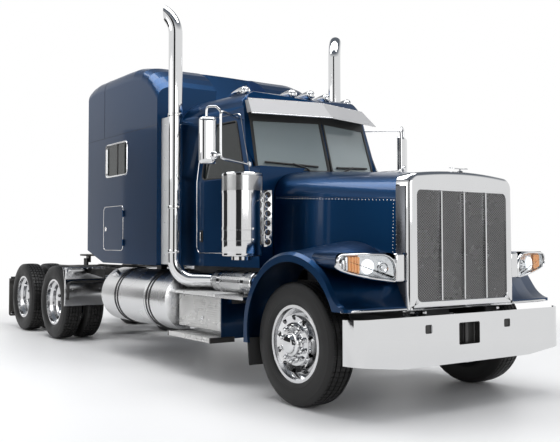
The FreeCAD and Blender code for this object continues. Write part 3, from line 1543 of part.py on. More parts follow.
def dashboard():
    """The dash across the cab's front wall, with the steering column and wheel on the left."""
    section = [(cab_front_x - wall, dash_bottom), (cab_front_x - wall, dash_top), (dash_brow_x, dash_top),
               (dash_back_x, dash_face_top), (dash_back_x, dash_bottom)]
    panel = along_y(section, -dash_half, dash_half)
    panel = panel.makeFillet(dash_edge, [e for e in panel.Edges if e.BoundBox.YLength > dash_half
                                         and e.BoundBox.XMax < cab_front_x - 2 * wall])
    foot = V(column_foot[0] + dash_edge, column_y, column_foot[1])
    head = V(column_head[0], column_y, column_head[1])
    ring = Part.makeTorus(steering_radius, steering_grip)
    spoke = box(-steering_radius, steering_radius, -spoke_half, spoke_half, -spoke_wall / 2, spoke_wall / 2)
    hub = rod(V(0, 0, -spoke_wall), V(0, 0, spoke_wall), steering_hub)
    wheel = joined([ring, spoke, hub])
    wheel.Placement = FreeCAD.Placement(head, FreeCAD.Rotation(V(0, 0, 1), head - foot))
    return joined([panel, rod(foot, head, column_radius), wheel])


def mirror():
    """A tall rounded head on a bent tube that is rooted at the door's upper corner and at the belt."""
    head = box(mirror_back_x, mirror_front_x, mirror_inner_y, mirror_outer_y, mirror_bottom, mirror_top)
    head = head.makeFillet(mirror_edge, head.Edges)
    top, low = V(mirror_post_x, mirror_post_y, mirror_post_top), V(mirror_post_x, mirror_post_y,
                                                                   mirror_post_bottom)
    inside_x = (mirror_back_x + mirror_front_x) / 2
    inside_y = mirror_inner_y + mirror_edge
    runs = [(V(*mirror_root_top), top), (top, V(inside_x, inside_y, mirror_top - mirror_edge)), (top, low),
            (low, V(inside_x, inside_y, mirror_bottom + 2 * mirror_edge)), (V(*mirror_root_low), low)]
    tubes = [rod(start, end, mirror_tube) for start, end in runs]
    corners = [Part.makeSphere(mirror_tube, corner) for corner in (top, low)]
    return joined([head] + tubes + corners).cut(cab_loft(0))


# Rear fittings
def quarter_fender():
    """A blade ahead of the first drive tyre, curled back at the top, on a tube from the rail."""
    def side_curve(back):
        points = [V(quarter_x - back, quarter_inside, quarter_bottom),
                  V(quarter_bulge_x - back, quarter_inside, (quarter_bottom + quarter_top) / 2),
                  V(quarter_top_x - back, quarter_inside, quarter_top)]
        return Part.Arc(*points).toShape()
    front, back = side_curve(0), side_curve(quarter_wall)
    low = Part.makeLine(front.Vertexes[0].Point, back.Vertexes[0].Point)
    high = Part.makeLine(front.Vertexes[-1].Point, back.Vertexes[-1].Point)
    blade = Part.Face(Part.Wire([front, high, back, low])).extrude(V(0, quarter_outside - quarter_inside, 0))
    arm_x = quarter_x - quarter_wall
    arm = rod(V(arm_x, rail_y, quarter_arm_z), V(arm_x, quarter_outside - 2 * boot_rim, quarter_arm_z),
              quarter_arm_radius)
    return joined([blade, arm])


def mud_flap():
    outside = rear_tyre_outside
    sheet = along_x([(flap_inside, flap_bottom), (outside, flap_bottom), (outside, flap_top),
                     (flap_inside, flap_top)],
                    rear_x, rear_x + flap_wall, flap_corner)
    face = rear_x + flap_wall
    arm = box(face, face + flap_arm_wall, rail_y, outside, flap_top - flap_corner - flap_arm_height,
              flap_top - flap_corner)
    bottom = flap_top - flap_corner - flap_arm_height
    plate = box(face, rail_rear_x + flap_plate_reach, rail_y, rail_y + flap_wall, bottom,
                bottom + flap_plate_height)
    return joined([sheet, arm, plate])


def tail_lamps():
    face = crossmember_x[-1] - crossmember_width / 2
    back = face - lamp_bar_depth
    bar = box(back, face, -lamp_bar_half, lamp_bar_half, lamp_bar_bottom, lamp_bar_top)
    z = (lamp_bar_bottom + lamp_bar_top) / 2
    lamps = [rod(V(face, y, z), V(back - tail_lamp_depth, y, z), tail_lamp_radius) for y in tail_lamp_y]
    return joined([bar] + lamps + [other_side(lamp) for lamp in lamps])


def fifth_wheel_base():
    """Feet on both rails, each with an upright ear for the pivot, and a bar between them."""
    foot_top = rail_top + coupling_foot_wall
    parts = []
    for side in (1, -1):
        outside = side * rail_y
        foot = box(coupling_x - coupling_foot_length / 2, coupling_x + coupling_foot_length / 2,
                   side * (rail_y - coupling_foot_width), outside, rail_top, foot_top)
        ear = box(coupling_x - coupling_ear_length / 2, coupling_x + coupling_ear_length / 2,
                  side * (rail_y - coupling_ear_width), outside, foot_top,
                  coupling_pivot_z + coupling_ear_top)
        parts.append(joined([foot, ear]))
    bar_end = rail_y - coupling_foot_width
    bar = box(coupling_x - coupling_bar_length / 2, coupling_x + coupling_bar_length / 2, -bar_end, bar_end,
              rail_top, foot_top)
    bore = coupling_pin_radius + coupling_pin_clearance
    return joined(parts + [bar]).cut(rod(V(coupling_x, -2 * rail_y, coupling_pivot_z),
                                         V(coupling_x, 2 * rail_y, coupling_pivot_z), bore))


def fifth_wheel_plate():
    """The tilting plate with its throat and kingpin seat, two lugs under it and a pin in each ear."""
    under = coupling_top - coupling_wall
    plate = rod(V(coupling_x, 0, under), V(coupling_x, 0, coupling_top), coupling_radius)
    lug_outside = rail_y - coupling_ear_width - coupling_gap
    parts = [plate]
    for side in (1, -1):
        parts.append(box(coupling_x - coupling_lug_length / 2, coupling_x + coupling_lug_length / 2,
                         side * (lug_outside - coupling_lug_width), side * lug_outside,
                         coupling_pivot_z - coupling_lug_drop, under))
        pin_end = rail_y - coupling_gap
        parts.append(rod(V(coupling_x, side * (pin_end - coupling_pin_length), coupling_pivot_z),
                         V(coupling_x, side * pin_end, coupling_pivot_z), coupling_pin_radius))
    low, high = under - coupling_wall, coupling_top + 1
    throat = along_z([(coupling_x, -throat_half), (coupling_x, throat_half),
                      (coupling_x - throat_length, throat_mouth_half),
                      (coupling_x - throat_length, -throat_mouth_half)],
                     low, high)
    seat = rod(V(coupling_x, 0, low), V(coupling_x, 0, high), kingpin_seat)
    return joined(parts).cut(throat).cut(seat)


os.makedirs("parts", exist_ok=True)

save("frame_rails", *frame_rails())
save("crossmembers", *[crossmember(x) for x in crossmember_x])
save("front_axle", front_axle())
save("front_springs", *both_sides(front_spring()))
save("drive_axles", drive_axle(first_drive_x), drive_axle(second_drive_x))
save("rear_suspension", *[piece for x in (first_drive_x, second_drive_x)
                          for piece in both_sides(rear_suspension(x))])
save("engine", engine())
save("driveline", *driveline())
save("radiator", radiator())
save("bumper", bumper())
save("fuel_tanks", *both_sides(tank()))
save("step_boxes", *both_sides(step_box()))
save("exhaust_canister", *both_sides(canister()))
shell, screen, door, pane = cab_parts()
save("cab_shell", shell)
save("windshield", *screen)
save("cab_boot", cab_boot())
save("cab_mounts", *cab_mounts())
sleeper, sleeper_pane, baggage = sleeper_parts()
save("sleeper_shell", sleeper)
save("sleeper_windows", *both_sides(sleeper_pane))
save("sun_visor", sun_visor())
save("roof_lamps", *roof_lamps())
save("air_cleaners", *both_sides(air_cleaner()))
save("exhaust_stacks", *both_sides(stack()))
save("stack_shields", *both_sides(stack_shield()))
save("dashboard", dashboard())
save("seats", *seats())
save("quarter_fenders", *both_sides(quarter_fender()))
save("mud_flaps", *both_sides(mud_flap()))
save("tail_lamps", tail_lamps())
save("fifth_wheel_base", fifth_wheel_base())
save("hood_shell", hood_shell())
save("grille_surround", grille_surround())
save("grille", grille())
save("fenders", *both_sides(fender()))
save("headlamps", *both_sides(headlamp()))
save("fifth_wheel_plate", fifth_wheel_plate())
front = front_wheel()
rear = rear_wheel()
knuckle_left = knuckle().cut(tie_hole(1, tie_pin_clearance))
knuckle_right = other_side(knuckle()).cut(tie_hole(-1, open_pin_clearance))
for side, turn in (("left", lambda s: s), ("right", other_side)):
    save("door_" + side, turn(door))
    save("door_glass_" + side, turn(pane))
    save("mirror_" + side, turn(mirror()))
    save("baggage_door_" + side, turn(baggage))
    save("front_tyre_" + side, turn(tyre(front_tyre_y)))
    save("front_wheel_" + side, turn(front))
    for axle, x in (("first", first_drive_x), ("second", second_drive_x)):
        tyres = [moved(turn(tyre(y)), x) for y in (outer_dual_y, inner_dual_y)]
        save(axle + "_drive_tyres_" + side, *tyres)
        save(axle + "_drive_wheels_" + side, moved(turn(rear), x))
save("knuckle_left", knuckle_left)
save("knuckle_right", knuckle_right)
save("tie_rod", tie_rod())
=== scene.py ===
import math

import bmesh
import bpy
from mathutils import Matrix, Vector


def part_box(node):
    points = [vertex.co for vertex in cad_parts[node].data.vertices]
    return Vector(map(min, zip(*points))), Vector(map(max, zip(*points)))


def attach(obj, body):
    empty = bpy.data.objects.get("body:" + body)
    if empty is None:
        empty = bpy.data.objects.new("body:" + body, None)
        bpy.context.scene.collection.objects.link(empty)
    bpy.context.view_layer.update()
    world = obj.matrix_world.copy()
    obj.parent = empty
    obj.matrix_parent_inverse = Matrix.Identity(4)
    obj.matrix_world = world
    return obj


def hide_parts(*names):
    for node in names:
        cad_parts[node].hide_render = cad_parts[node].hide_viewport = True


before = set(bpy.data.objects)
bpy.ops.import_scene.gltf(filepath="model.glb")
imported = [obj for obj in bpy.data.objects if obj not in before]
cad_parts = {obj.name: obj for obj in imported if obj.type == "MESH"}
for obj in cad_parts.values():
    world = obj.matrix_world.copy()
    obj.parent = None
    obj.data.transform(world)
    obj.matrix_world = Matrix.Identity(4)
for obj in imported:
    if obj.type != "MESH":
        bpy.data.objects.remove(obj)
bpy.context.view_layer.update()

# The studio: a pale floor that runs out into a white surround, a wide soft box overhead and
# two soft fills. The camera stands off the right front corner at chest height, as in the
# photograph. The truck's stations are given from its front axle.
wheel_low, wheel_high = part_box("front_tyre_left")
axle_x = (wheel_low.x + wheel_high.x) / 2


def at(ahead, left, up):
    """A point given in metres ahead of the front axle, to the truck's left and above the floor."""
    return Vector((axle_x + ahead, left, up))


def edit_mode(on=True):
    """Into edit mode, or out of it."""
    bpy.ops.object.mode_set(mode="EDIT" if on else "OBJECT")


def deselect():
    if bpy.context.object and bpy.context.object.mode != "OBJECT":
        edit_mode(False)
    bpy.ops.object.select_all(action="DESELECT")


def shade(tree, kind, feeds=None, **settings):
    """Add a shader node with its properties; each input is fed a value or another node's output."""
    node = tree.nodes.new("ShaderNode" + kind)
    for name, value in settings.items():
        setattr(node, name, value)
    for socket, value in (feeds or {}).items():
        if isinstance(value, bpy.types.NodeSocket):
            tree.links.new(value, node.inputs[socket])
        else:
            node.inputs[socket].default_value = value
    return node


def ramp(tree, factor, low, high, places=(0.0, 1.0)):
    """Two colours over a factor from 0 to 1."""
    node = shade(tree, "ValToRGB", {"Fac": factor})
    for element, colour, place in zip(node.color_ramp.elements, (low, high), places):
        element.color, element.position = (*colour, 1), place
    return node.outputs["Color"]


heading, rise = math.radians(146.11), math.radians(2.35)
look = Vector((math.cos(heading) * math.cos(rise), math.sin(heading) * math.cos(rise), math.sin(rise)))
deselect()
bpy.ops.object.camera_add(location=at(5.339, -5.182, 1.369), rotation=look.to_track_quat("-Z", "Y").to_euler())
camera = bpy.context.object
camera.data.sensor_width, camera.data.lens = 36, 50.68
camera.data.shift_x, camera.data.shift_y = 0.0516, -0.0176
camera.data.clip_end = 200
bpy.context.scene.camera = camera

deselect()
bpy.ops.mesh.primitive_circle_add(vertices=96, radius=45, fill_type="NGON", location=(0, 0, 0))
floor = bpy.context.object
floor.name = "studio_floor"
floor_paint = bpy.data.materials.new("studio_floor")
floor_paint.use_nodes = True
tree = floor_paint.node_tree
place = shade(tree, "TexCoord").outputs["Object"]
clouds = shade(tree, "TexNoise", {"Vector": place, "Scale": 0.35}).outputs["Fac"]
tree.links.new(ramp(tree, clouds, (0.76, 0.76, 0.755), (0.82, 0.82, 0.82)),
               tree.nodes["Principled BSDF"].inputs["Base Color"])
tree.nodes["Principled BSDF"].inputs["Roughness"].default_value = 0.42
reach = shade(tree, "VectorMath", {0: place}, operation="LENGTH").outputs["Value"]
fade = shade(tree, "MapRange", {"Value": reach, "From Min": 4.0, "From Max": 8.5}, interpolation_type="SMOOTHSTEP")
ray = shade(tree, "LightPath").outputs
seen = shade(tree, "Math", {0: ray["Is Camera Ray"], 1: ray["Is Glossy Ray"]}, operation="MAXIMUM").outputs["Value"]
share = shade(tree, "Math", {0: seen, 1: fade.outputs["Result"]}, operation="MULTIPLY").outputs["Value"]
mixed = shade(tree, "MixShader", {"Fac": share, 1: tree.nodes["Principled BSDF"].outputs["BSDF"],
                                  2: shade(tree, "Emission").outputs["Emission"]})
tree.links.new(mixed.outputs["Shader"], tree.nodes["Material Output"].inputs["Surface"])
floor.data.materials.append(floor_paint)

world = bpy.data.worlds.new("studio")
bpy.context.scene.world = world
world.use_nodes = True
tree = world.node_tree
fill = tree.nodes["Background"]
fill.inputs["Color"].default_value = (0.93, 0.95, 1.0, 1)
fill.inputs["Strength"].default_value = 0.5
parts = shade(tree, "SeparateXYZ", {"Vector": shade(tree, "TexCoord").outputs["Generated"]})
sky = ramp(tree, parts.outputs["Z"], (1, 1, 1), (0.16, 0.18, 0.21), (0.36, 0.60))
backdrop = shade(tree, "Background", {"Color": sky})
ray = shade(tree, "LightPath").outputs
seen = shade(tree, "Math", {0: ray["Is Camera Ray"], 1: ray["Is Glossy Ray"]}, operation="MAXIMUM").outputs["Value"]
seen = shade(tree, "Math", {0: seen, 1: ray["Is Transmission Ray"]}, operation="MAXIMUM").outputs["Value"]
mixed = shade(tree, "MixShader", {"Fac": seen, 1: fill.outputs["Background"], 2: backdrop.outputs["Background"]})
tree.links.new(mixed.outputs["Shader"], tree.nodes["World Output"].inputs["Surface"])
bpy.context.scene.view_settings.view_transform = "Standard"

# Two dark drapes, one behind the camera and one off the right side, give polished metal and
# paint something to reflect. The camera itself does not see them. Three soft lamps light the
# truck from overhead, from the front and from the right.
drape_cloth = bpy.data.materials.new("studio_drape")
drape_cloth.use_nodes = True
tree = drape_cloth.node_tree
folds = shade(tree, "TexNoise", {"Scale": 1.5}).outputs["Fac"]
tree.links.new(ramp(tree, folds, (0.010, 0.010, 0.011), (0.030, 0.030, 0.032)),
               tree.nodes["Principled BSDF"].inputs["Base Color"])
tree.nodes["Principled BSDF"].inputs["Roughness"].default_value = 0.95
for name, bearing, distance, width, tall in (("drape_behind_camera", -45, 11, 4.6, 9.0),
                                             ("drape_right_side", -131, 12, 8.5, 4.5)):
    spot = Vector((math.cos(math.radians(bearing)) * distance, math.sin(math.radians(bearing)) * distance, tall / 2))
    deselect()
    bpy.ops.mesh.primitive_plane_add(size=1, location=spot,
                                     rotation=(-Vector((spot.x, spot.y, 0))).to_track_quat("Z", "Y").to_euler())
    drape = bpy.context.object
    drape.name = name
    drape.scale = (width, tall, 1)
    drape.data.materials.append(drape_cloth)
    drape.visible_camera = drape.visible_shadow = drape.visible_diffuse = False

for name, stand, aim, width, depth, power in (
        ("overhead_box", Vector((1.0, -0.8, 8.5)), Vector((0.3, 0, 0)), 12, 4.2, 1000),
        ("front_fill", Vector((11, -3, 3.5)), Vector((3, 0, 1.2)), 5, 3, 130),
        ("side_fill", Vector((-2, -12, 4.5)), Vector((0, 0, 1.6)), 8, 3, 150)):
    bpy.ops.object.light_add(type="AREA", location=stand, rotation=(aim - stand).to_track_quat("-Z", "Y").to_euler())
    lamp = bpy.context.object
    lamp.name = name
    lamp.data.shape, lamp.data.size, lamp.data.size_y, lamp.data.energy = "RECTANGLE", width, depth, power

# The painted body: cab, sleeper, hood, fenders and doors in one deep blue metallic under
# clear coat. The colour clouds slightly, fine flakes lie under the coat, and road dust
# greys the lowest panels a little.


def varied_tones():
    """Two colours clouded together, a roughness that follows them, dust near the floor, and a fine grain."""
    group = bpy.data.node_groups.new("varied_tones", "ShaderNodeTree")
    for name, kind, value in (("Colour", "NodeSocketColor", (0.5, 0.5, 0.5, 1)),
                              ("Second Colour", "NodeSocketColor", (0.4, 0.4, 0.4, 1)),
                              ("Cloud Scale", "NodeSocketFloat", 3.0), ("Grain Scale", "NodeSocketFloat", 400.0),
                              ("Low Roughness", "NodeSocketFloat", 0.2), ("High Roughness", "NodeSocketFloat", 0.4),
                              ("Dust", "NodeSocketFloat", 0.0)):
        group.interface.new_socket(name, in_out="INPUT", socket_type=kind).default_value = value
    for name, kind in (("Colour", "NodeSocketColor"), ("Roughness", "NodeSocketFloat"), ("Height", "NodeSocketFloat")):
        group.interface.new_socket(name, in_out="OUTPUT", socket_type=kind)
    given = group.nodes.new("NodeGroupInput").outputs
    result = group.nodes.new("NodeGroupOutput").inputs
    place = shade(group, "TexCoord").outputs["Object"]
    cloud = shade(group, "TexNoise", {"Detail": 4, "Vector": place, "Scale": given["Cloud Scale"]}).outputs["Fac"]
    grain = shade(group, "TexNoise", {"Detail": 2, "Vector": place, "Scale": given["Grain Scale"]}).outputs["Fac"]
    blend = shade(group, "Mix", {0: cloud, 6: given["Colour"], 7: given["Second Colour"]}, data_type="RGBA").outputs[2]
    parts = shade(group, "SeparateXYZ", {"Vector": place})
    low = shade(group, "MapRange", {"Value": parts.outputs["Z"], "From Min": 1.1, "From Max": 0.1}).outputs["Result"]
    settle = shade(group, "Math", {0: low, 1: cloud}, operation="MULTIPLY").outputs["Value"]
    amount = shade(group, "Math", {0: settle, 1: given["Dust"]}, operation="MULTIPLY").outputs["Value"]
    dusty = shade(group, "Mix", {0: amount, 6: blend, 7: (0.20, 0.185, 0.16, 1)}, data_type="RGBA").outputs[2]
    rough = shade(group, "MapRange", {"Value": cloud, "From Min": 0.3, "From Max": 0.7,
                                      "To Min": given["Low Roughness"],
                                      "To Max": given["High Roughness"]}).outputs["Result"]
    for name, value in (("Colour", dusty), ("Roughness", rough), ("Height", grain)):
        group.links.new(value, result[name])
    return group


shared_tones = varied_tones()


def finish(name, colour, second, rough, metallic=0.0, cloud=3.0, grain=400.0, bump=0.05, depth=0.0005, dust=0.0,
           **values):
    """A material whose colour, roughness and fine relief come from the shared tones.

    What else is named sets the shader's sockets, with underscores for spaces.
    """
    made = bpy.data.materials.new(name)
    made.use_nodes = True
    tree = made.node_tree
    sockets = tree.nodes["Principled BSDF"].inputs
    tones = tree.nodes.new("ShaderNodeGroup")
    tones.node_tree = shared_tones
    for socket, value in (("Colour", (*colour, 1)), ("Second Colour", (*second, 1)), ("Cloud Scale", cloud),
                          ("Grain Scale", grain), ("Low Roughness", rough[0]), ("High Roughness", rough[1]),
                          ("Dust", dust)):
        tones.inputs[socket].default_value = value
    relief = shade(tree, "Bump", {"Strength": bump, "Distance": depth, "Height": tones.outputs["Height"]})
    tree.links.new(tones.outputs["Colour"], sockets["Base Color"])
    tree.links.new(tones.outputs["Roughness"], sockets["Roughness"])
    tree.links.new(relief.outputs["Normal"], sockets["Normal"])
    sockets["Metallic"].default_value = metallic
    for socket, value in values.items():
        sockets[socket.replace("_", " ")].default_value = value
    return made


def dress(material, *names):
    """Give CAD nodes their finish."""
    for name in names:
        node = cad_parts[name]
        if not node.material_slots:
            node.data.materials.append(material)
        for slot in node.material_slots:
            slot.material = material


blue_paint = finish("blue_paint", (0.0015, 0.026, 0.082), (0.0030, 0.037, 0.108), (0.33, 0.40), metallic=0.95,
                    cloud=1.1, grain=2500, bump=0.03, depth=0.0002, dust=0.10, Coat_Weight=0.3, Coat_Roughness=0.05,
                    Specular_IOR_Level=0.2)
dress(blue_paint, "cab_shell", "sleeper_shell", "hood_shell", "fenders", "door_left", "door_right",
      "baggage_door_left", "baggage_door_right")

# The chassis: black painted rails and crossmembers, cast axles and castings with road dust,
# dark spring steel, a grey engine block behind a dark radiator core.
chassis_black = finish("chassis_black", (0.012, 0.012, 0.013), (0.022, 0.021, 0.02), (0.35, 0.55), dust=0.35)
cast_black = finish("cast_black", (0.02, 0.02, 0.02), (0.035, 0.033, 0.03), (0.5, 0.75), grain=180, bump=0.4,
                    depth=0.001, dust=0.5)
spring_steel = finish("spring_steel", (0.05, 0.048, 0.045), (0.09, 0.08, 0.07), (0.45, 0.7), metallic=0.6, dust=0.4)
engine_grey = finish("engine_grey", (0.10, 0.105, 0.11), (0.07, 0.07, 0.072), (0.45, 0.7), bump=0.2, dust=0.2)
radiator_core = finish("radiator_core", (0.03, 0.03, 0.032), (0.05, 0.05, 0.05), (0.5, 0.7), metallic=0.5)
greased_steel = finish("greased_steel", (0.09, 0.085, 0.08), (0.03, 0.027, 0.025), (0.25, 0.6), metallic=0.8, cloud=9,
                       bump=0.3, depth=0.001)
dress(chassis_black, "frame_rails", "crossmembers", "rear_suspension", "cab_mounts", "fifth_wheel_base")
dress(cast_black, "front_axle", "drive_axles", "driveline", "tie_rod", "knuckle_left", "knuckle_right")
dress(spring_steel, "front_springs")
dress(engine_grey, "engine")
dress(radiator_core, "radiator")
dress(greased_steel, "fifth_wheel_plate")

# Tyres: a ribbed steer tread in front and a block tread on the drive axles, cut into the
# rubber as grooves and short cross slots. The sidewalls have raised rings and a thin mould
# line and carry no lettering.
tyre_rubber = finish("tyre_rubber", (0.007, 0.007, 0.0075), (0.013, 0.013, 0.013), (0.42, 0.58), cloud=5, grain=260,
                     bump=0.2, depth=0.0006, dust=0.05, Specular_IOR_Level=0.32)


def edit_all():
    """Into edit mode with the whole mesh selected."""
    edit_mode()
    bpy.ops.mesh.select_all(action="SELECT")


def face_out():
    """In edit mode, turn every face outwards, then leave it."""
    bpy.ops.mesh.select_all(action="SELECT")
    bpy.ops.mesh.normals_make_consistent(inside=False)
    edit_mode(False)


def take(piece):
    """Select one piece alone and make it the active one."""
    deselect()
    piece.select_set(True)
    bpy.context.view_layer.objects.active = piece


def turn(profile, centre, axis=(0, 1, 0), steps=48):
    """Spin a closed outline of (radius, place along the axis) points about the axis through centre."""
    deselect()
    bpy.ops.mesh.primitive_circle_add(vertices=len(profile), fill_type="NOTHING", location=(0, 0, 0))
    piece = bpy.context.object
    axis = Vector(axis).normalized()
    out = axis.orthogonal().normalized()
    for vertex, (radius, along) in zip(piece.data.vertices, profile):
        vertex.co = centre + out * radius + axis * along
    edit_all()
    bpy.ops.mesh.spin(steps=steps, angle=math.tau, center=centre, axis=axis)
    bpy.ops.mesh.select_all(action="SELECT")
    bpy.ops.mesh.remove_doubles(threshold=0.00002)
    bpy.ops.mesh.delete_loose(use_verts=True, use_edges=True, use_faces=False)
    face_out()
    return piece


def choose(test):
    """In edit mode, select the faces whose middle and normal pass the test."""
    bpy.ops.mesh.select_mode(type="FACE")
    bpy.ops.mesh.select_all(action="DESELECT")
    data = bpy.context.object.data
    mesh = bmesh.from_edit_mesh(data)
    for face in mesh.faces:
        if test(face.calc_center_median(), face.normal):
            face.select_set(True)
    bmesh.update_edit_mesh(data)


def complete(piece, name, material, body, slot, replaced=(), smooth=30.0):
    """Apply what is live, name the piece, and say what it moves with and stands for."""
    take(piece)
    for modifier in list(piece.modifiers):
        bpy.ops.object.modifier_apply(modifier=modifier.name)
    bpy.ops.object.transform_apply(location=True, rotation=True, scale=True)
    bpy.ops.object.shade_smooth_by_angle(angle=math.radians(smooth))
    piece.name = piece.data.name = name
    if material:
        piece.data.materials.clear()
        piece.data.materials.append(material)
    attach(piece, body)
    if replaced:
        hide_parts(*replaced)
    return piece


def carry(piece, matrix):
    """Move a mesh by a matrix; one that mirrors it has its faces turned back out."""
    piece.data.transform(matrix)
    if matrix.determinant() < 0:
        piece.data.flip_normals()
    return piece


def duplicate(piece, matrix=Matrix.Identity(4)):
    """A copy with its own mesh, its points carried by the matrix."""
    take(piece)
    bpy.ops.object.duplicate(linked=False)
    return carry(bpy.context.object, matrix)


def combine(pieces):
    """Join several objects into the first."""
    deselect()
    for piece in pieces:
        piece.select_set(True)
    bpy.context.view_layer.objects.active = pieces[0]
    bpy.ops.object.join()
    return bpy.context.object


across = Matrix.Scale(-1, 4, (0, 1, 0))
flips = (("left", Matrix.Identity(4)), ("right", across))
sides = (("left", 1), ("right", -1))
tyre_radius = (wheel_high.z - wheel_low.z) / 2
tyre_half = (wheel_high.y - wheel_low.y) / 2
bead_radius, bead_half = 0.313, 0.1015
tread_half, groove_depth = 0.113, 0.015
crown_height = tyre_radius - 0.0005


def tread_outline(grooves):
    """The tyre's outline as (radius, place) points: one half, from the middle of the tread to the bead, mirrored."""
    top = [(crown_height, 0.0)]
    for place, half_width in grooves:
        crown = crown_height - 0.55 * (place - half_width) ** 2
        top += [(crown, place - half_width), (crown - groove_depth, place - half_width * 0.55),
                (crown - groove_depth, place + half_width * 0.55), (crown, place + half_width)]
    shoulder = [(tyre_radius - 0.007, tread_half * 0.93), (tyre_radius - 0.013, tread_half)]
    wall = [(tyre_radius - depth, tyre_half * share) for depth, share in (
        (0.030, 0.885), (0.046, 0.925), (0.048, 0.94), (0.052, 0.94), (0.075, 0.975), (0.102, 0.996), (0.127, 0.992),
        (0.150, 0.962), (0.152, 0.972), (0.158, 0.962), (0.176, 0.895))]
    heel = [(bead_radius + 0.020, bead_half + 0.0085), (bead_radius + 0.012, bead_half - 0.001),
            (bead_radius, bead_half - 0.001)]
    half = top[1:] + shoulder + wall + heel
    return [(r, -y) for r, y in reversed(half)] + [top[0]] + half


def cut_tread(piece, centre, ribs, pitches, slot_share, slot_depth):
    """Gather the rings of points in pairs and sink the narrow strips between them on the given ribs."""
    whole = math.tau / pitches
    for vertex in piece.data.vertices:
        spoke = vertex.co - centre
        if math.hypot(spoke.x, spoke.z) < tyre_radius - 0.02 or abs(spoke.y) > tread_half * 1.01:
            continue
        turn_angle = math.atan2(spoke.z, spoke.x) % math.tau
        step = round(turn_angle / (whole / 2))
        lead = 0.16 * whole * math.sin(18 * spoke.y)
        new_angle = step * whole / 2 + (0.5 - slot_share) * whole * (step % 2) + lead
        reach = math.hypot(spoke.x, spoke.z)
        vertex.co = centre + Vector((reach * math.cos(new_angle), spoke.y, reach * math.sin(new_angle)))
    take(piece)
    edit_mode()

    def in_slot(middle, normal):
        spoke = middle - centre
        if math.hypot(spoke.x, spoke.z) < tyre_radius - 0.010:
            return False
        if not any(low < abs(spoke.y) < high for low, high in ribs):
            return False
        lead = 0.16 * whole * math.sin(18 * spoke.y)
        share = ((math.atan2(spoke.z, spoke.x) - lead) % whole) / whole
        return share > 1 - slot_share
    choose(in_slot)
    bpy.ops.mesh.extrude_region_shrink_fatten(TRANSFORM_OT_shrink_fatten={"value": -slot_depth})
    edit_mode(False)


steer_grooves = ((0.028, 0.006), (0.078, 0.006))
drive_grooves = ((0.0215, 0.005), (0.068, 0.0065))
axles = [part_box(name) for name in ("front_tyre_left", "first_drive_tyres_left", "second_drive_tyres_left")]
axle_places = [(low.x + high.x) / 2 for low, high in axles]
front_centre = Vector((axle_places[0], (axles[0][0].y + axles[0][1].y) / 2, tyre_radius))
steer_tyre = turn(tread_outline(steer_grooves), front_centre, steps=144)
cut_tread(steer_tyre, front_centre, ((0.006, 0.022), (0.034, 0.072), (0.084, 0.112)), 72, 0.16, 0.006)
steer_tyre = complete(steer_tyre, "steer_tyre_left", tyre_rubber, "front_wheel_left", "tyre", ("front_tyre_left",), 25)
right_tyre = duplicate(steer_tyre, across)
complete(right_tyre, "steer_tyre_right", tyre_rubber, "front_wheel_right", "tyre", ("front_tyre_right",), 25)

outer_dual = axles[1][1].y - tyre_half
inner_dual = axles[1][0].y + tyre_half
drive_centre = Vector((axle_places[1], outer_dual, tyre_radius))
block_tyre = turn(tread_outline(drive_grooves), drive_centre, steps=112)
cut_tread(block_tyre, drive_centre, ((0.0, 0.017), (0.026, 0.062), (0.074, 0.125)), 56, 0.22, 0.013)
inner_tyre = duplicate(block_tyre, Matrix.Translation((0, inner_dual - outer_dual, 0)))
dual = combine([block_tyre, inner_tyre])
for order, place in (("first", axle_places[1]), ("second", axle_places[2])):
    for side, mirror in flips:
        pair = duplicate(dual, mirror @ Matrix.Translation((place - axle_places[1], 0, 0)))
        complete(pair, order + "_block_tyres_" + side, tyre_rubber, order + "_drive_wheel_" + side, "tyre",
                 (order + "_drive_tyres_" + side,), 25)
bpy.data.objects.remove(dual)

# Wheels: forged aluminium, polished, bolted to the hub with ten nuts. Chromed thimble covers
# stand over the nuts and a stepped chrome cap over each hub.
polished_aluminium = finish("polished_aluminium", (0.62, 0.625, 0.635), (0.71, 0.71, 0.715), (0.09, 0.17),
                            metallic=1.0, cloud=6, grain=900, bump=0.03, dust=0.12)
chrome = finish("chrome", (0.64, 0.645, 0.655), (0.70, 0.705, 0.71), (0.03, 0.07), metallic=1.0, cloud=2,
                grain=30, bump=0.015, depth=0.002, dust=0.05)
dress(polished_aluminium, *(wheel + side for side, sign in sides
                            for wheel in ("front_wheel_", "first_drive_wheels_", "second_drive_wheels_")))
nut_circle, nut_count = 0.1429, 10


def terrace(*steps):
    """In edit mode, draw the chosen faces in and move them, once for each (inset, move)."""
    for inset, move in steps:
        bpy.ops.mesh.inset(thickness=inset)
        bpy.ops.transform.translate(value=move)


def nut_covers(centre, face, length):
    """Ten thimbles on the bolt circle: a cylinder whose top is drawn in twice to a blunt point."""
    made = []
    for index in range(nut_count):
        turn_angle = math.tau * (index + 0.5) / nut_count
        spot = Vector((centre.x + nut_circle * math.cos(turn_angle), face + length * 0.3,
                       centre.z + nut_circle * math.sin(turn_angle)))
        if made:
            made.append(duplicate(made[0], Matrix.Translation(spot - first_spot)))
            continue
        first_spot = spot
        deselect()
        bpy.ops.mesh.primitive_cylinder_add(vertices=18, radius=0.0225, depth=length * 0.6, location=spot,
                                            rotation=(math.radians(-90), 0, 0))
        bpy.ops.object.transform_apply(location=True, rotation=True)
        edit_mode()
        for inset, reach in ((0.0035, 0.004), (0.002, length * 0.22), (0.005, length * 0.14), (0.006, 0.002)):
            choose(lambda middle, normal: normal.y > 0.9)
            terrace((inset, (0, reach, 0)))
        edit_mode(False)
        made.append(bpy.context.object)
    return made


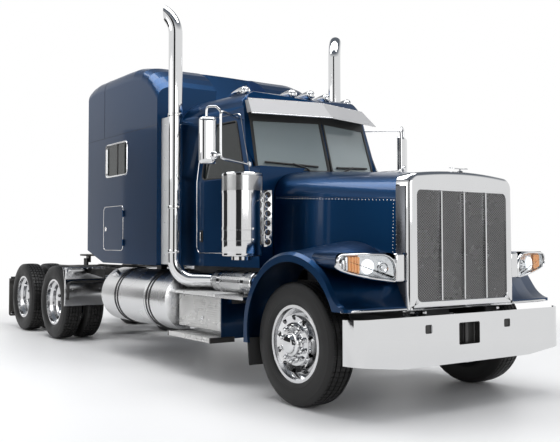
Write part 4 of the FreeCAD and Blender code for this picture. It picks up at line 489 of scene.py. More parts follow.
def hub_cap(centre, face, steps):
    """A stepped cap turned from (radius, height) points, hollow behind."""
    inner = [(max(radius - 0.004, 0.0), max(height - 0.004, 0.0)) for radius, height in reversed(steps)]
    return turn(list(steps) + inner, Vector((centre.x, face, centre.z)), steps=64)


front_face = front_centre.y + bead_half
caps = nut_covers(front_centre, front_face, 0.058)
caps.append(hub_cap(front_centre, front_face, ((0.182, 0.0), (0.182, 0.004), (0.176, 0.008), (0.112, 0.012),
                                               (0.106, 0.020), (0.104, 0.040), (0.098, 0.050), (0.084, 0.054),
                                               (0.078, 0.060), (0.076, 0.074), (0.066, 0.084), (0.040, 0.089),
                                               (0.0, 0.090))))
cap_left = complete(combine(caps), "hub_cap_front_left", chrome, "front_wheel_left", "chrome")
complete(duplicate(cap_left, across), "hub_cap_front_right", chrome, "front_wheel_right", "chrome")

dual_middle = (outer_dual + inner_dual) / 2
drive_face = dual_middle + 0.0145
caps = nut_covers(drive_centre, drive_face, 0.062)
caps.append(hub_cap(drive_centre, drive_face, ((0.172, 0.0), (0.172, 0.004), (0.166, 0.008), (0.121, 0.012),
                                               (0.118, 0.060), (0.112, 0.094), (0.100, 0.104), (0.094, 0.110),
                                               (0.092, 0.122), (0.082, 0.132), (0.050, 0.137), (0.0, 0.138))))
drive_cap = combine(caps)
for order, place in (("first", axle_places[1]), ("second", axle_places[2])):
    for side, mirror in flips:
        copy = duplicate(drive_cap, mirror @ Matrix.Translation((place - axle_places[1], 0, 0)))
        complete(copy, "hub_cap_" + order + "_drive_" + side, chrome, order + "_drive_wheel_" + side, "chrome")
bpy.data.objects.remove(drive_cap)

# The bumper: one chromed steel pressing. A black recess with a pin bar sits behind the
# middle opening, and small plates behind the two hook openings.
dress(chrome, "bumper", "grille_surround")
black_paint = finish("black_paint", (0.008, 0.008, 0.009), (0.016, 0.016, 0.016), (0.3, 0.5), grain=600, bump=0.1,
                     dust=0.2)


def modify(piece, kind, **settings):
    """Give a piece a live modifier."""
    modifier = piece.modifiers.new(kind.lower(), kind)
    for name, value in settings.items():
        setattr(modifier, name, value)


def block(low, high, edge=0.0, segments=2, about=Vector()):
    """A box between any two opposite corners, taken about a place, its edges rounded."""
    low, high = (about + Vector([pick(pair) for pair in zip(low, high)]) for pick in (min, max))
    deselect()
    bpy.ops.mesh.primitive_cube_add(size=1, location=(low + high) / 2, scale=high - low)
    piece = bpy.context.object
    bpy.ops.object.transform_apply(location=True, rotation=True, scale=True)
    if edge:
        modify(piece, "BEVEL", width=edge, segments=segments)
        bpy.ops.object.modifier_apply(modifier="bevel")
    return piece


def buttons(places, radius=0.008, height=0.004):
    """Round-headed rivets or bolts: half domes that stand on (point, direction) places."""
    made = []
    deselect()
    bpy.ops.mesh.primitive_uv_sphere_add(segments=12, ring_count=8, radius=radius, location=(0, 0, 0))
    head = bpy.context.object
    head.scale = (1, 1, height / radius)
    bpy.ops.object.transform_apply(scale=True)
    edit_all()
    bpy.ops.mesh.bisect(plane_co=(0, 0, -height * 0.2), plane_no=(0, 0, 1), clear_inner=True, use_fill=True)
    edit_mode(False)
    for point, direction in places:
        facing = Vector(direction).to_track_quat("Z", "Y").to_matrix().to_4x4()
        made.append(duplicate(head, Matrix.Translation(Vector(point)) @ facing))
    bpy.data.objects.remove(head)
    return combine(made)


recess = block(at(0.800, -0.150, 0.515), at(0.874, 0.150, 0.740), 0.006)
edit_mode()
choose(lambda middle, normal: normal.x > 0.9)
bpy.ops.mesh.inset(thickness=0.018)
bpy.ops.mesh.extrude_region_move(TRANSFORM_OT_translate={"value": (-0.055, 0, 0)})
edit_mode(False)
bar = block(at(0.835, -0.018, 0.525), at(0.853, 0.018, 0.73), 0.005)
plates = [block(at(0.862, sign * 0.43, 0.64), at(0.873, sign * 0.53, 0.73), 0.002) for side, sign in sides]
complete(combine([recess, bar] + plates), "tow_recess", black_paint, "chassis", "chassis_black")

# The grille: a steel sheet pierced by close rows of diamonds, dark between the bright webs,
# with three polished dividers in front. Rivets run up both sides of the chromed surround.
mesh_half, mesh_low, mesh_high = 0.548, 0.902, 1.804
mesh_metal = finish("grille_mesh", (0.30, 0.30, 0.305), (0.38, 0.38, 0.385), (0.2, 0.32), metallic=1.0, grain=500,
                    bump=0.1)
deselect()
bpy.ops.mesh.primitive_grid_add(x_subdivisions=42, y_subdivisions=40, size=1, rotation=(0, math.radians(90), 0),
                                location=at(0.823, 0, (mesh_low + mesh_high) / 2))
mesh_sheet = bpy.context.object
mesh_sheet.scale = (mesh_high - mesh_low, 2 * mesh_half, 1)
bpy.ops.object.transform_apply(location=True, rotation=True, scale=True)
edit_all()
bpy.ops.mesh.poke()
bpy.ops.mesh.tris_convert_to_quads(face_threshold=math.radians(60), shape_threshold=math.radians(120))
bpy.ops.mesh.select_all(action="SELECT")
bpy.ops.mesh.inset(thickness=0.0016, use_individual=True)
bpy.ops.mesh.delete(type="FACE")
edit_mode(False)
modify(mesh_sheet, "SOLIDIFY", thickness=0.006)
dividers = [block(at(0.815, y - 0.008, mesh_low + 0.003), at(0.843, y + 0.008, mesh_high - 0.003), 0.004)
            for y in (-0.273, 0, 0.273)]
complete(mesh_sheet, "grille_mesh", mesh_metal, "hood", "chrome", ("grille",), 20)
complete(combine(dividers), "grille_dividers", chrome, "hood", "chrome")
insect_screen = block(at(0.788, -0.565, 0.885), at(0.794, 0.565, 1.820), 0.002)
complete(insect_screen, "insect_screen", black_paint, "hood", "chassis_black")


def closed_ring(loops):
    """A ring-shaped solid: each loop is a list of points, joined to the next and the last to the first."""
    deselect()
    bpy.ops.mesh.primitive_torus_add(major_segments=len(loops[0]), minor_segments=len(loops), major_radius=1,
                                     minor_radius=0.1, location=(0, 0, 0))
    piece = bpy.context.object
    for index, vertex in enumerate(piece.data.vertices):
        vertex.co = loops[index % len(loops)][index // len(loops)]
    edit_mode()
    face_out()
    return piece


def drawn_in(points, amount):
    """A closed flat outline moved inwards by an amount, point by point."""
    moved = []
    area = sum(a[0] * b[1] - b[0] * a[1] for a, b in zip(points, points[1:] + points[:1]))
    for before, here, after in zip(points[-1:] + points[:-1], points, points[1:] + points[:1]):
        first = (Vector(here) - Vector(before)).normalized()
        second = (Vector(after) - Vector(here)).normalized()
        inwards = Vector((-(first + second).y, (first + second).x)).normalized()
        if area < 0:
            inwards = -inwards
        spread = max(0.5, abs(inwards.dot(Vector((-second.y, second.x)))))
        moved.append(tuple(Vector(here) + inwards * amount / spread))
    return moved


def rounded(corners, radii, steps, crown=0.0, crown_steps=0):
    """An outline with arcs at its corners; the third side (between corners 2 and 3) may be crowned."""
    points = []
    count = len(corners)
    for index in range(count):
        before, here, after = (Vector(corners[(index + step) % count]) for step in (-1, 0, 1))
        inward, outward = (before - here).normalized(), (after - here).normalized()
        half = inward.angle(outward) / 2
        reach = radii[index] / math.tan(half)
        centre = here + (inward + outward).normalized() * radii[index] / math.sin(half)
        start, end = here + inward * reach - centre, here + outward * reach - centre
        swing = start.angle_signed(end)
        for step in range(steps + 1):
            ray = start.copy()
            ray.rotate(Matrix.Rotation(-swing * step / steps, 2))
            points.append(tuple(centre + ray))
        if index == 2 and crown_steps:
            first = Vector(points[-1])
            following = Vector(corners[3])
            last = following + (first - following).normalized() * radii[3] / math.tan(
                (Vector(corners[2]) - following).angle(Vector(corners[0]) - following) / 2)
            for step in range(1, crown_steps):
                share = step / crown_steps
                point = first.lerp(last, share)
                points.append((point.x, point.y + crown * (1 - (2 * share - 1) ** 2)))
    return points


outer_edge = rounded([(-0.642, 0.827), (0.642, 0.827), (0.632, 1.946), (-0.632, 1.946)],
                     [0.012, 0.012, 0.100, 0.100], 9, 0.030, 12)
opening = rounded([(-0.547, 0.903), (0.547, 0.903), (0.547, 1.803), (-0.547, 1.803)], [0.045] * 4, 9, 0.0, 12)
surround_loops = [(0.676, drawn_in(outer_edge, 0.004)), (0.680, outer_edge), (0.796, outer_edge),
                  (0.816, drawn_in(outer_edge, 0.006)), (0.829, drawn_in(outer_edge, 0.018)),
                  (0.8355, drawn_in(outer_edge, 0.036)), (0.8355, drawn_in(opening, -0.007)),
                  (0.833, drawn_in(opening, -0.002)), (0.829, opening), (0.806, opening),
                  (0.804, drawn_in(opening, -0.006)), (0.800, drawn_in(outer_edge, 0.030)),
                  (0.680, drawn_in(outer_edge, 0.012))]
surround = closed_ring([[at(ahead, y, z) for y, z in loop] for ahead, loop in surround_loops])
complete(surround, "grille_surround_shell", chrome, "hood", "chrome", ("grille_surround",), 40)
rivet_heights = [0.86 + 0.0385 * step for step in range(25)]
# The dark chrome bands laid along each side of the surround are painted shade, standing for the shade in the recess
# there.
recess_painted_shade = finish("recess_painted_shade", (0.10, 0.105, 0.118), (0.15, 0.155, 0.168), (0.22, 0.34), metallic=0.85, cloud=5)
for side, sign in sides:
    band = block(at(0.688, sign * 0.6395, 0.845), at(0.792, sign * 0.6440, 1.835), 0.0015)
    complete(band, "surround_recess_shade_" + side, recess_painted_shade, "hood", "chrome")
    places = [(at(0.683, sign * (0.642 - 0.0090 * (up - 0.827)), up), (0, sign, 0)) for up in rivet_heights]
    complete(buttons(places, 0.0045, 0.003), "surround_rivets_" + side, chrome, "hood", "chrome")

# A plain turned finial stands on the crown of the surround, where such trucks carry an ornament.
finial = [turn([(0.0, 0.0), (0.026, 0.0), (0.024, 0.006), (0.010, 0.010), (0.008, 0.020), (0.014, 0.026), (0.0, 0.030)],
               at(0.800, 0, 1.9745), (0, 0, 1), 24)]
wing = block(at(0.770, -0.085, 1.998), at(0.815, 0.085, 2.004), 0.0025)
edit_mode()
choose(lambda middle, normal: abs(normal.y) > 0.9)
bpy.ops.transform.translate(value=(-0.02, 0, 0.008))
edit_mode(False)
complete(combine(finial + [wing]), "hood_finial", chrome, "hood", "chrome")

# Headlamps: a pod in the body's blue paint that flows into the fender, a chromed bezel round a clear lens,
# and behind it a bright reflector bowl with an amber ribbed turn lamp at the outer end, a
# projector in the middle and a smaller round reflector next to the nose.
lamp_mirror = finish("lamp_mirror", (0.55, 0.56, 0.57), (0.75, 0.76, 0.77), (0.08, 0.2), metallic=1.0, cloud=30,
                     grain=90, bump=0.25, depth=0.003)
lens_clear = finish("lens_clear", (0.93, 0.95, 0.96), (0.88, 0.9, 0.92), (0.0, 0.03), grain=120, bump=0.02,
                    Transmission_Weight=0.97, IOR=1.12)
amber = finish("amber_lens", (0.80, 0.36, 0.12), (0.88, 0.46, 0.20), (0.12, 0.25), cloud=40, bump=0.1,
               Emission_Color=(0.9, 0.28, 0.03, 1), Emission_Strength=0.12)
projector = finish("projector", (0.9, 0.92, 0.95), (0.95, 0.96, 0.98), (0.05, 0.1), cloud=20,
                   Emission_Color=(0.95, 0.98, 1.0, 1), Emission_Strength=0.9)
lamp_yaw, lamp_inner = math.radians(11), 0.642
sweep = (Matrix.Translation(at(0.822, lamp_inner, 0)) @ Matrix.Rotation(lamp_yaw, 4, "Z")
         @ Matrix.Translation((0, -lamp_inner, 0)))
lamp_edge = [(0.742, 1.085), (0.751, 1.067), (0.775, 1.060), (0.850, 1.070), (0.958, 1.084), (1.064, 1.103),
             (1.170, 1.126), (1.235, 1.146), (1.270, 1.168), (1.286, 1.198), (1.287, 1.232), (1.278, 1.262),
             (1.258, 1.281), (1.225, 1.290), (1.063, 1.295), (0.956, 1.295), (0.860, 1.291), (0.815, 1.275),
             (0.775, 1.245), (0.753, 1.205), (0.743, 1.150)]


def flat(points):
    """One flat face through the points."""
    deselect()
    bpy.ops.mesh.primitive_circle_add(vertices=len(points), fill_type="NGON", location=(0, 0, 0))
    piece = bpy.context.object
    for vertex, point in zip(piece.data.vertices, points):
        vertex.co = point
    return piece


def lamp_plate(forward, inset):
    """The lamp's outline as one flat face, drawn in by an inset, facing forward, in edit mode."""
    piece = flat([(forward, y, z) for y, z in drawn_in(lamp_edge, inset)])
    edit_mode()
    mesh = bmesh.from_edit_mesh(piece.data)
    mesh.faces.ensure_lookup_table()
    mesh.normal_update()
    bpy.ops.mesh.select_all(action="SELECT")
    if mesh.faces[0].normal.x < 0:
        bpy.ops.mesh.flip_normals()
    return piece


pod_copies = [duplicate(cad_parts["headlamps"]) for side, sign in sides]
for (side, sign), body in zip(sides, pod_copies):
    mirror = sweep if sign > 0 else across @ sweep
    take(body)
    edit_all()
    bpy.ops.mesh.remove_doubles(threshold=0.0001)
    facing = Vector((math.cos(lamp_yaw), sign * math.sin(lamp_yaw), 0))
    spot = mirror @ Vector((-0.024, 0.9, 1.2))
    bpy.ops.mesh.bisect(plane_co=(0, 0, 0), plane_no=(0, sign, 0), clear_inner=True)
    bpy.ops.mesh.select_all(action="SELECT")
    bpy.ops.mesh.bisect(plane_co=spot, plane_no=facing, clear_outer=True)
    edit_mode(False)
    body.data.materials.clear()
    complete(body, "headlamp_pod_" + side, blue_paint, "hood", "blue_paint", ("headlamps",), 30)
    loops = [(-0.050, 0.002), (-0.008, 0.0), (0.000, 0.003), (0.005, 0.009), (0.005, 0.015), (-0.002, 0.019),
             (-0.030, 0.020), (-0.048, 0.012)]
    bezel = closed_ring([[(forward, y, z) for y, z in drawn_in(lamp_edge, inset)] for forward, inset in loops])
    carry(bezel, mirror)
    neck = block(at(0.700, sign * 0.652, 1.062), at(0.803, sign * 0.752, 1.292), 0.022, 4)
    complete(combine([bezel, neck]), "headlamp_bezel_" + side, chrome, "hood", "chrome", smooth=40)
    bowl = lamp_plate(-0.004, 0.018)
    bpy.ops.mesh.inset(thickness=0.002)
    bpy.ops.mesh.extrude_region_move(TRANSFORM_OT_translate={"value": (-0.028, 0, 0)})
    terrace((0.020, (-0.008, 0, 0)))
    edit_mode(False)
    complete(carry(bowl, mirror), "headlamp_bowl_" + side, lamp_mirror, "hood", "chrome", smooth=30)
    lens = lamp_plate(-0.003, 0.0175)
    terrace((0.010, (0.005, 0, 0)), (0.022, (0.003, 0, 0)))
    edit_mode(False)
    complete(carry(lens, mirror), "headlamp_lens_" + side, lens_clear, "hood", "clear_glass", smooth=40)
    ribs, clear_ribs = [], []
    for index in range(7):
        y = 1.080 + index * 0.026
        low = 1.106 + (y - 1.064) * 0.23 + 0.026
        high = 1.264 - 0.022 * max(0, index - 4)
        rib = block((-0.034, y, low), (-0.012, y + 0.022, high), 0.006)
        (ribs if index < 4 else clear_ribs).append(carry(rib, mirror))
    complete(combine(ribs), "turn_lamp_" + side, amber, "hood", "red_lens")
    complete(combine(clear_ribs), "marker_ribs_" + side, lamp_mirror, "hood", "chrome")
    eye = turn([(0.0, 0.0), (0.056, 0.0), (0.056, 0.010), (0.050, 0.012), (0.046, 0.006), (0.040, 0.018),
                (0.022, 0.026), (0.0, 0.028)], Vector((-0.038, 1.000, 1.188)), (1, 0, 0), 32)
    complete(carry(eye, mirror), "projector_" + side, projector, "hood", "clear_glass")
    dish = turn([(0.0, 0.0), (0.048, 0.0), (0.048, 0.020), (0.043, 0.020), (0.034, 0.008), (0.018, 0.004),
                 (0.016, 0.018), (0.0, 0.020)], Vector((-0.038, 0.862, 1.175)), (1, 0, 0), 32)
    complete(carry(dish, mirror), "dipped_reflector_" + side, chrome, "hood", "chrome")

# Fender lips: a chromed strip closes each fender's lower front edge, above the black gap
# over the bumper, and a rubber flap hangs behind the wheel arch.
black_rubber = finish("black_rubber", (0.018, 0.018, 0.018), (0.03, 0.03, 0.03), (0.6, 0.8), grain=300, bump=0.2)


def bar(points, radius):
    """A round bar that bends through the points."""
    deselect()
    bpy.ops.curve.primitive_nurbs_path_add(location=(0, 0, 0))
    piece = bpy.context.object
    piece.data.splines.clear()
    spline = piece.data.splines.new("NURBS")
    spline.points.add(len(points) - 1)
    for control, point in zip(spline.points, points):
        control.co = (*point, 1)
    spline.order_u = 3
    spline.use_endpoint_u = True
    spline.resolution_u = 6
    piece.data.bevel_depth = radius
    piece.data.bevel_resolution = 3
    piece.data.use_fill_caps = True
    bpy.ops.object.convert(target="MESH")
    return bpy.context.object


for side, sign in sides:
    strip = bar([at(0.806, sign * 0.650, 0.846), at(0.800, sign * 0.800, 0.846), at(0.792, sign * 0.960, 0.846),
                 at(0.776, sign * 1.120, 0.846), at(0.745, sign * 1.215, 0.846), at(0.700, sign * 1.240, 0.846)], 0.011)
    complete(strip, "fender_lip_" + side, chrome, "hood", "chrome", smooth=60)
    flap = block(at(-0.625, sign * 0.90, 0.27), at(-0.613, sign * 1.225, 0.52), 0.0)
    edit_mode()
    choose(lambda middle, normal: normal.z < -0.9)
    bpy.ops.transform.resize(value=(1, 0.86, 1))
    edit_mode(False)
    modify(flap, "BEVEL", width=0.005)
    complete(flap, "fender_flap_" + side, black_rubber, "hood", "black_rubber")

# Trim and seals of the cab and doors: a thin bright bead round each door, which is a painted highlight standing
# for the light along the door's edge, and black rubber round the door windows and the two windshield panes,
# drawn along the edges of the panels.
trim_chrome = finish("trim_chrome", (0.72, 0.73, 0.74), (0.80, 0.80, 0.81), (0.08, 0.16), metallic=1.0, cloud=12)
seal_rubber = finish("seal_rubber", (0.012, 0.012, 0.012), (0.022, 0.022, 0.022), (0.45, 0.65), grain=300, bump=0.2)


def bead(piece, radius):
    """Give a wire of edges a round section."""
    take(piece)
    bpy.ops.object.convert(target="CURVE")
    piece.data.bevel_depth = radius
    piece.data.bevel_resolution = 1
    piece.data.use_fill_caps = True
    bpy.ops.object.convert(target="MESH")
    return bpy.context.object


def welded(node):
    """A copy of a CAD piece with its points welded, left in edit mode."""
    copy = duplicate(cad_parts[node])
    edit_all()
    bpy.ops.mesh.remove_doubles(threshold=0.0001)
    return copy


def panel_edges(node, test):
    """The edge loops round the faces of a CAD panel that pass the test, each as a wire of its own."""
    welded(node)
    choose(test)
    bpy.ops.mesh.region_to_loop()
    bpy.ops.mesh.select_mode(type="EDGE")
    bpy.ops.mesh.select_all(action="INVERT")
    bpy.ops.mesh.delete(type="EDGE")
    bpy.ops.mesh.select_all(action="SELECT")
    bpy.ops.mesh.delete_loose(use_verts=True, use_edges=False, use_faces=False)
    bpy.ops.mesh.select_all(action="SELECT")
    bpy.ops.mesh.delete(type="ONLY_FACE")
    bpy.ops.mesh.separate(type="LOOSE")
    edit_mode(False)
    loops = list(bpy.context.selected_objects)
    return sorted(loops, key=lambda loop: -(loop.dimensions.x + loop.dimensions.y + loop.dimensions.z))


def cut_line(node, through, facing, keep):
    """The line where a plane cuts a CAD panel, as a wire, kept where the test passes."""
    wire = welded(node)
    bpy.ops.mesh.select_all(action="SELECT")
    bpy.ops.mesh.bisect(plane_co=through, plane_no=facing)
    bpy.ops.mesh.select_mode(type="EDGE")
    bpy.ops.mesh.select_all(action="INVERT")
    bpy.ops.mesh.delete(type="EDGE")
    mesh = bmesh.from_edit_mesh(wire.data)
    for face in list(mesh.faces):
        mesh.faces.remove(face)
    bmesh.update_edit_mesh(wire.data)
    bpy.ops.mesh.select_mode(type="VERT")
    bpy.ops.mesh.select_all(action="DESELECT")
    mesh = bmesh.from_edit_mesh(wire.data)
    for vertex in mesh.verts:
        vertex.select_set(not vertex.link_edges or not keep(vertex.co))
    bmesh.update_edit_mesh(wire.data)
    bpy.ops.mesh.delete(type="VERT")
    edit_mode(False)
    return wire


def remove(*pieces):
    for piece in pieces:
        bpy.data.objects.remove(piece)


for side, sign in sides:
    loops = panel_edges("door_" + side, lambda middle, normal: normal.y * sign > 0.8)
    # The bright bead is a painted highlight: it stands for the light caught along the edge of the door.
    complete(bead(loops[0], 0.005), "door_edge_highlight_" + side, trim_chrome, "door_" + side, "chrome", smooth=60)
    complete(bead(loops[1], 0.009), "door_window_seal_" + side, seal_rubber, "door_" + side, "black_rubber", smooth=60)
    remove(*loops[2:])

# Windshield: two flat panes in a shallow vee, set in black rubber, with a black post between them.
# The black strip over the header under the visor is painted shade, standing for the visor's shadow there.
# The cab panel is cut to the full panes.


def screen_point(left, up, proud=0.0):
    """A point on the plane of the windshield."""
    return at(-0.908 - 0.302 * (up - 2.128) - 0.2775 * abs(left) + proud, left, up)


pane_edge = rounded([(0.024, 2.100), (0.772, 2.100), (0.744, 2.636), (0.024, 2.636)], [0.03, 0.045, 0.045, 0.03], 6)
front_panel = welded("cab_shell")
edit_mode(False)
for side, sign in sides:
    deselect()
    bpy.ops.mesh.primitive_cylinder_add(vertices=len(pane_edge), end_fill_type="NGON", location=(0, 0, 0))
    cutter = bpy.context.object
    for index, vertex in enumerate(cutter.data.vertices):
        y, z = pane_edge[index // 2]
        vertex.co = screen_point(y * sign, z, -0.13 if index % 2 else 0.04)
    edit_mode()
    face_out()
    take(front_panel)
    modify(front_panel, "BOOLEAN", object=cutter, solver="EXACT", operation="DIFFERENCE")
    bpy.ops.object.modifier_apply(modifier="boolean")
    remove(cutter)
complete(front_panel, "cab_panel", blue_paint, "chassis", "blue_paint", ("cab_shell",), 30)
# The panes' pale grey base colour is a painted reflection: it stands for the bright studio seen in the glass, which
# gives it a milky look.
clear_glass = finish("clear_glass", (0.58, 0.66, 0.67), (0.50, 0.58, 0.59), (0.0, 0.02), cloud=1.2, bump=0.0,
                     Transmission_Weight=0.55, IOR=1.45)
seals_and_header_shade, glasses = [], []
for side, sign in sides:
    loops = [(-0.050, 0.012), (0.002, 0.012), (0.006, 0.008), (0.008, 0.0), (0.006, -0.014), (0.0005, -0.018),
             (-0.010, -0.018), (-0.050, -0.002)]
    seals_and_header_shade.append(closed_ring([[screen_point(y * sign, z, proud) for y, z in drawn_in(pane_edge, inset)]
                              for proud, inset in loops]))
    pane = flat([screen_point(y * sign, z, -0.008) for y, z in drawn_in(pane_edge, 0.006)])
    edit_all()
    bpy.ops.mesh.extrude_region_move(TRANSFORM_OT_translate={"value": (0.005, 0, 0)})
    face_out()
    glasses.append(pane)
# This black strip over the header under the visor is painted shade, standing for the visor's shadow on the header.
for side, sign in sides:
    strip = block((0, 0, 0), (1, 1, 1))
    for vertex in strip.data.vertices:
        forward, left, up = (round(value) for value in vertex.co)
        vertex.co = screen_point(sign * left * 0.765, (2.612, 2.705)[up], (0.001, 0.009)[forward])
    if sign < 0:
        strip.data.flip_normals()
    seals_and_header_shade.append(strip)
complete(combine(seals_and_header_shade), "windshield_seals_and_header_shade", seal_rubber, "chassis", "black_rubber", smooth=35)
complete(combine(glasses), "windshield_panes", clear_glass, "chassis", "clear_glass", ("windshield",), 30)

# Wipers: two black arms from spindles under the panes, each with a long thin blade that
# rests on the glass near its lower edge.
wiper_parts = []
for low_y, high_y in ((0.10, 0.66), (-0.69, -0.14)):
    blade = [screen_point(low_y + (high_y - low_y) * part, 2.150 + 0.035 * (part if low_y > 0 else 1 - part), 0.014)
             for part in (0, 0.25, 0.5, 0.75, 1)]
    wiper_parts.append(bar(blade, 0.011))
    middle = blade[2]
    spindle = Vector((middle.x + 0.075, middle.y + 0.30 * (1 if low_y < 0 else -1) * 0.6, 2.085))
    wiper_parts.append(bar([spindle, spindle + Vector((-0.01, 0, 0.03)),
                            (spindle + middle) / 2 + Vector((0.02, 0, 0.02)), middle + Vector((0.012, 0, 0.006))],
                           0.010))
complete(combine(wiper_parts), "wipers", black_paint, "chassis", "chassis_black", smooth=60)

# Door handles: a chromed pull that stands upright in a dished black pocket near the rear
# lower corner of each door.


def on_side(node, sign, ahead, up):
    """Where a level ray from one side meets a CAD piece: whether it does, the point and the normal."""
    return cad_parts[node].ray_cast(at(ahead, sign * 2, up), Vector((0, -sign, 0)))[:3]


for side, sign in sides:
    place = on_side("door_" + side, sign, -1.915, 1.445)[1]
    pocket = block((-0.036, -0.005, -0.062), (0.036, 0.005, 0.062), about=place)
    edit_mode()
    choose(lambda middle, normal: normal.y * sign > 0.9)
    terrace((0.010, (0, -sign * 0.004, 0)))
    edit_mode(False)
    modify(pocket, "BEVEL", width=0.003, segments=2)
    complete(pocket, "door_handle_pocket_" + side, black_paint, "door_" + side, "chassis_black")
    pull = block((-0.009, sign * 0.004, -0.046), (0.009, sign * 0.014, 0.046), 0.0045, 3, about=place)
    complete(pull, "door_handle_" + side, chrome, "door_" + side, "chrome", smooth=60)

# Sleeper sides: the roof cap joins the walls on one long seam, a thin bright outline with a
# round latch marks each baggage door, and each window has a bright frame and a dark bar.
seam_dark = finish("seam_dark", (0.004, 0.008, 0.02), (0.006, 0.012, 0.03), (0.5, 0.7))
for side, sign in sides:
    seams = [bead(cut_line("sleeper_shell", at(0, 0, 2.70), (0, 0, 1), lambda co: co.y * sign > 1.10), 0.0022),
             bead(cut_line("sleeper_shell", at(-4.00, 0, 0), (1, 0, 0),
                           lambda co: co.y * sign > 1.0 and co.z > 2.70), 0.0022)]
    complete(combine(seams), "sleeper_seams_" + side, seam_dark, "chassis", "blue_paint", smooth=60)
    loops = panel_edges("baggage_door_" + side, lambda middle, normal: normal.y * sign > 0.9)
    complete(bead(loops[0], 0.0045), "baggage_trim_" + side, trim_chrome, "baggage_door_" + side, "chrome", smooth=60)
    remove(*loops[1:])
    place = on_side("baggage_door_" + side, sign, -3.93, 1.55)[1]
    latch = turn([(0.0, 0.0), (0.030, 0.0), (0.030, 0.004), (0.026, 0.007), (0.016, 0.007), (0.014, 0.003),
                  (0.0, 0.003)], place, (0, sign, 0), 28)
    complete(latch, "baggage_latch_" + side, chrome, "baggage_door_" + side, "chrome")
    window = rounded([(-3.938, 2.192), (-3.307, 2.192), (-3.307, 2.608), (-3.938, 2.608)], [0.055] * 4, 7)
    loops = [(1.146, 0.0), (1.161, -0.004), (1.170, 0.000), (1.172, 0.008), (1.168, 0.016), (1.146, 0.018)]
    ring = closed_ring([[at(x, sign * y, z) for x, z in drawn_in(window, inset)] for y, inset in loops])
    complete(ring, "sleeper_window_frame_" + side, trim_chrome, "chassis", "chrome", smooth=50)
    post = block(at(-3.632, sign * 1.140, 2.205), at(-3.610, sign * 1.152, 2.595), 0.003)
    complete(post, "sleeper_window_bar_" + side, seal_rubber, "chassis", "black_rubber")

# The hood: its top panel is riveted to the sides along a seam that falls gently forward,
# and a short row of rivets holds the nose behind the surround.
seam_height, seam_fall = 1.83, 0.093 / 1.61
slope = Vector((seam_fall, 0, 1)).normalized()
for side, sign in sides:
    line = cut_line("hood_shell", at(-0.93, 0, seam_height), slope, lambda co: co.y * sign > 0.50 and co.z > 1.6)
    complete(bead(line, 0.0018), "hood_seam_" + side, seam_dark, "hood", "blue_paint", smooth=60)
    rows = [(-0.90 + step * 0.042, seam_height - seam_fall * (0.03 + step * 0.042) - 0.016) for step in range(38)]
    rows += [(0.640, 1.30 + 0.028 * step) for step in range(16)]
    met = [on_side("hood_shell", sign, *row) for row in rows]
    rivets = [(place, normal) for hit, place, normal in met if hit]
    complete(buttons(rivets, 0.0055, 0.003), "hood_rivets_" + side, trim_chrome, "hood", "chrome")

# Mirrors: a chromed shell with a flat glass behind it, carried off each door by a C of bent
# chromed tube, with a small round wide-angle mirror near its lower inner corner.
mirror_glass = finish("mirror_glass", (0.60, 0.63, 0.65), (0.66, 0.69, 0.70), (0.01, 0.03), metallic=1.0, grain=60,
                      bump=0.01)
tubes = [bar([at(-1.400, 0.780, 2.640), at(-1.280, 0.960, 2.648), at(-1.130, 1.165, 2.652), at(-1.110, 1.200, 2.640),
              at(-1.110, 1.203, 2.600), at(-1.110, 1.203, 2.420), at(-1.110, 1.203, 2.240), at(-1.111, 1.198, 2.196),
              at(-1.118, 1.150, 2.184), at(-1.135, 0.980, 2.166), at(-1.150, 0.850, 2.150)], 0.013),
         bar([at(-1.190, 1.315, 2.595), at(-1.190, 1.315, 2.665), at(-1.182, 1.305, 2.690), at(-1.155, 1.265, 2.695),
              at(-1.128, 1.228, 2.690), at(-1.110, 1.203, 2.640)], 0.012),
         bar([at(-1.175, 1.300, 2.235), at(-1.150, 1.270, 2.232), at(-1.130, 1.240, 2.228), at(-1.110, 1.203, 2.222)],
             0.012)]
for place in (at(-1.400, 0.780, 2.640), at(-1.150, 0.850, 2.150)):
    tubes.append(block((-0.03, -0.012, -0.026), (0.03, 0.012, 0.026), 0.006, about=place))
yaw = Matrix.Translation(at(-1.186, 1.303, 0)) @ Matrix.Rotation(math.radians(28), 4, "Z")
head = block((-0.038, -0.094, 2.128), (0.038, 0.094, 2.607))
edit_mode()
choose(lambda middle, normal: normal.x > 0.9)
bpy.ops.transform.resize(value=(1, 0.74, 0.90))
edit_mode(False)
head.data.transform(yaw)
modify(head, "BEVEL", width=0.035, segments=8)
glass_back = block((-0.041, -0.082, 2.145), (-0.036, 0.082, 2.590), 0.0015)
glass_back.data.transform(yaw)
spot_shell = turn([(0.0, 0.0), (0.040, 0.0), (0.044, 0.006), (0.042, 0.020), (0.030, 0.032), (0.012, 0.037),
                   (0.0, 0.038)], at(-1.140, 1.262, 2.215), (0.88, 0.47, 0), 32)
for side, flip in flips:
    tube_set = combine([duplicate(tube, flip) for tube in tubes])
    complete(tube_set, "mirror_tubes_" + side, chrome, "door_" + side, "chrome", ("mirror_" + side,), 60)
    shell = duplicate(head)
    bpy.ops.object.modifier_apply(modifier="bevel")
    carry(shell, flip)
    complete(combine([shell, duplicate(spot_shell, flip)]), "mirror_shell_" + side, chrome, "door_" + side, "chrome",
             smooth=60)
    complete(duplicate(glass_back, flip), "mirror_glass_" + side, mirror_glass, "door_" + side, "dark_glass")
remove(head, glass_back, spot_shell, *tubes)

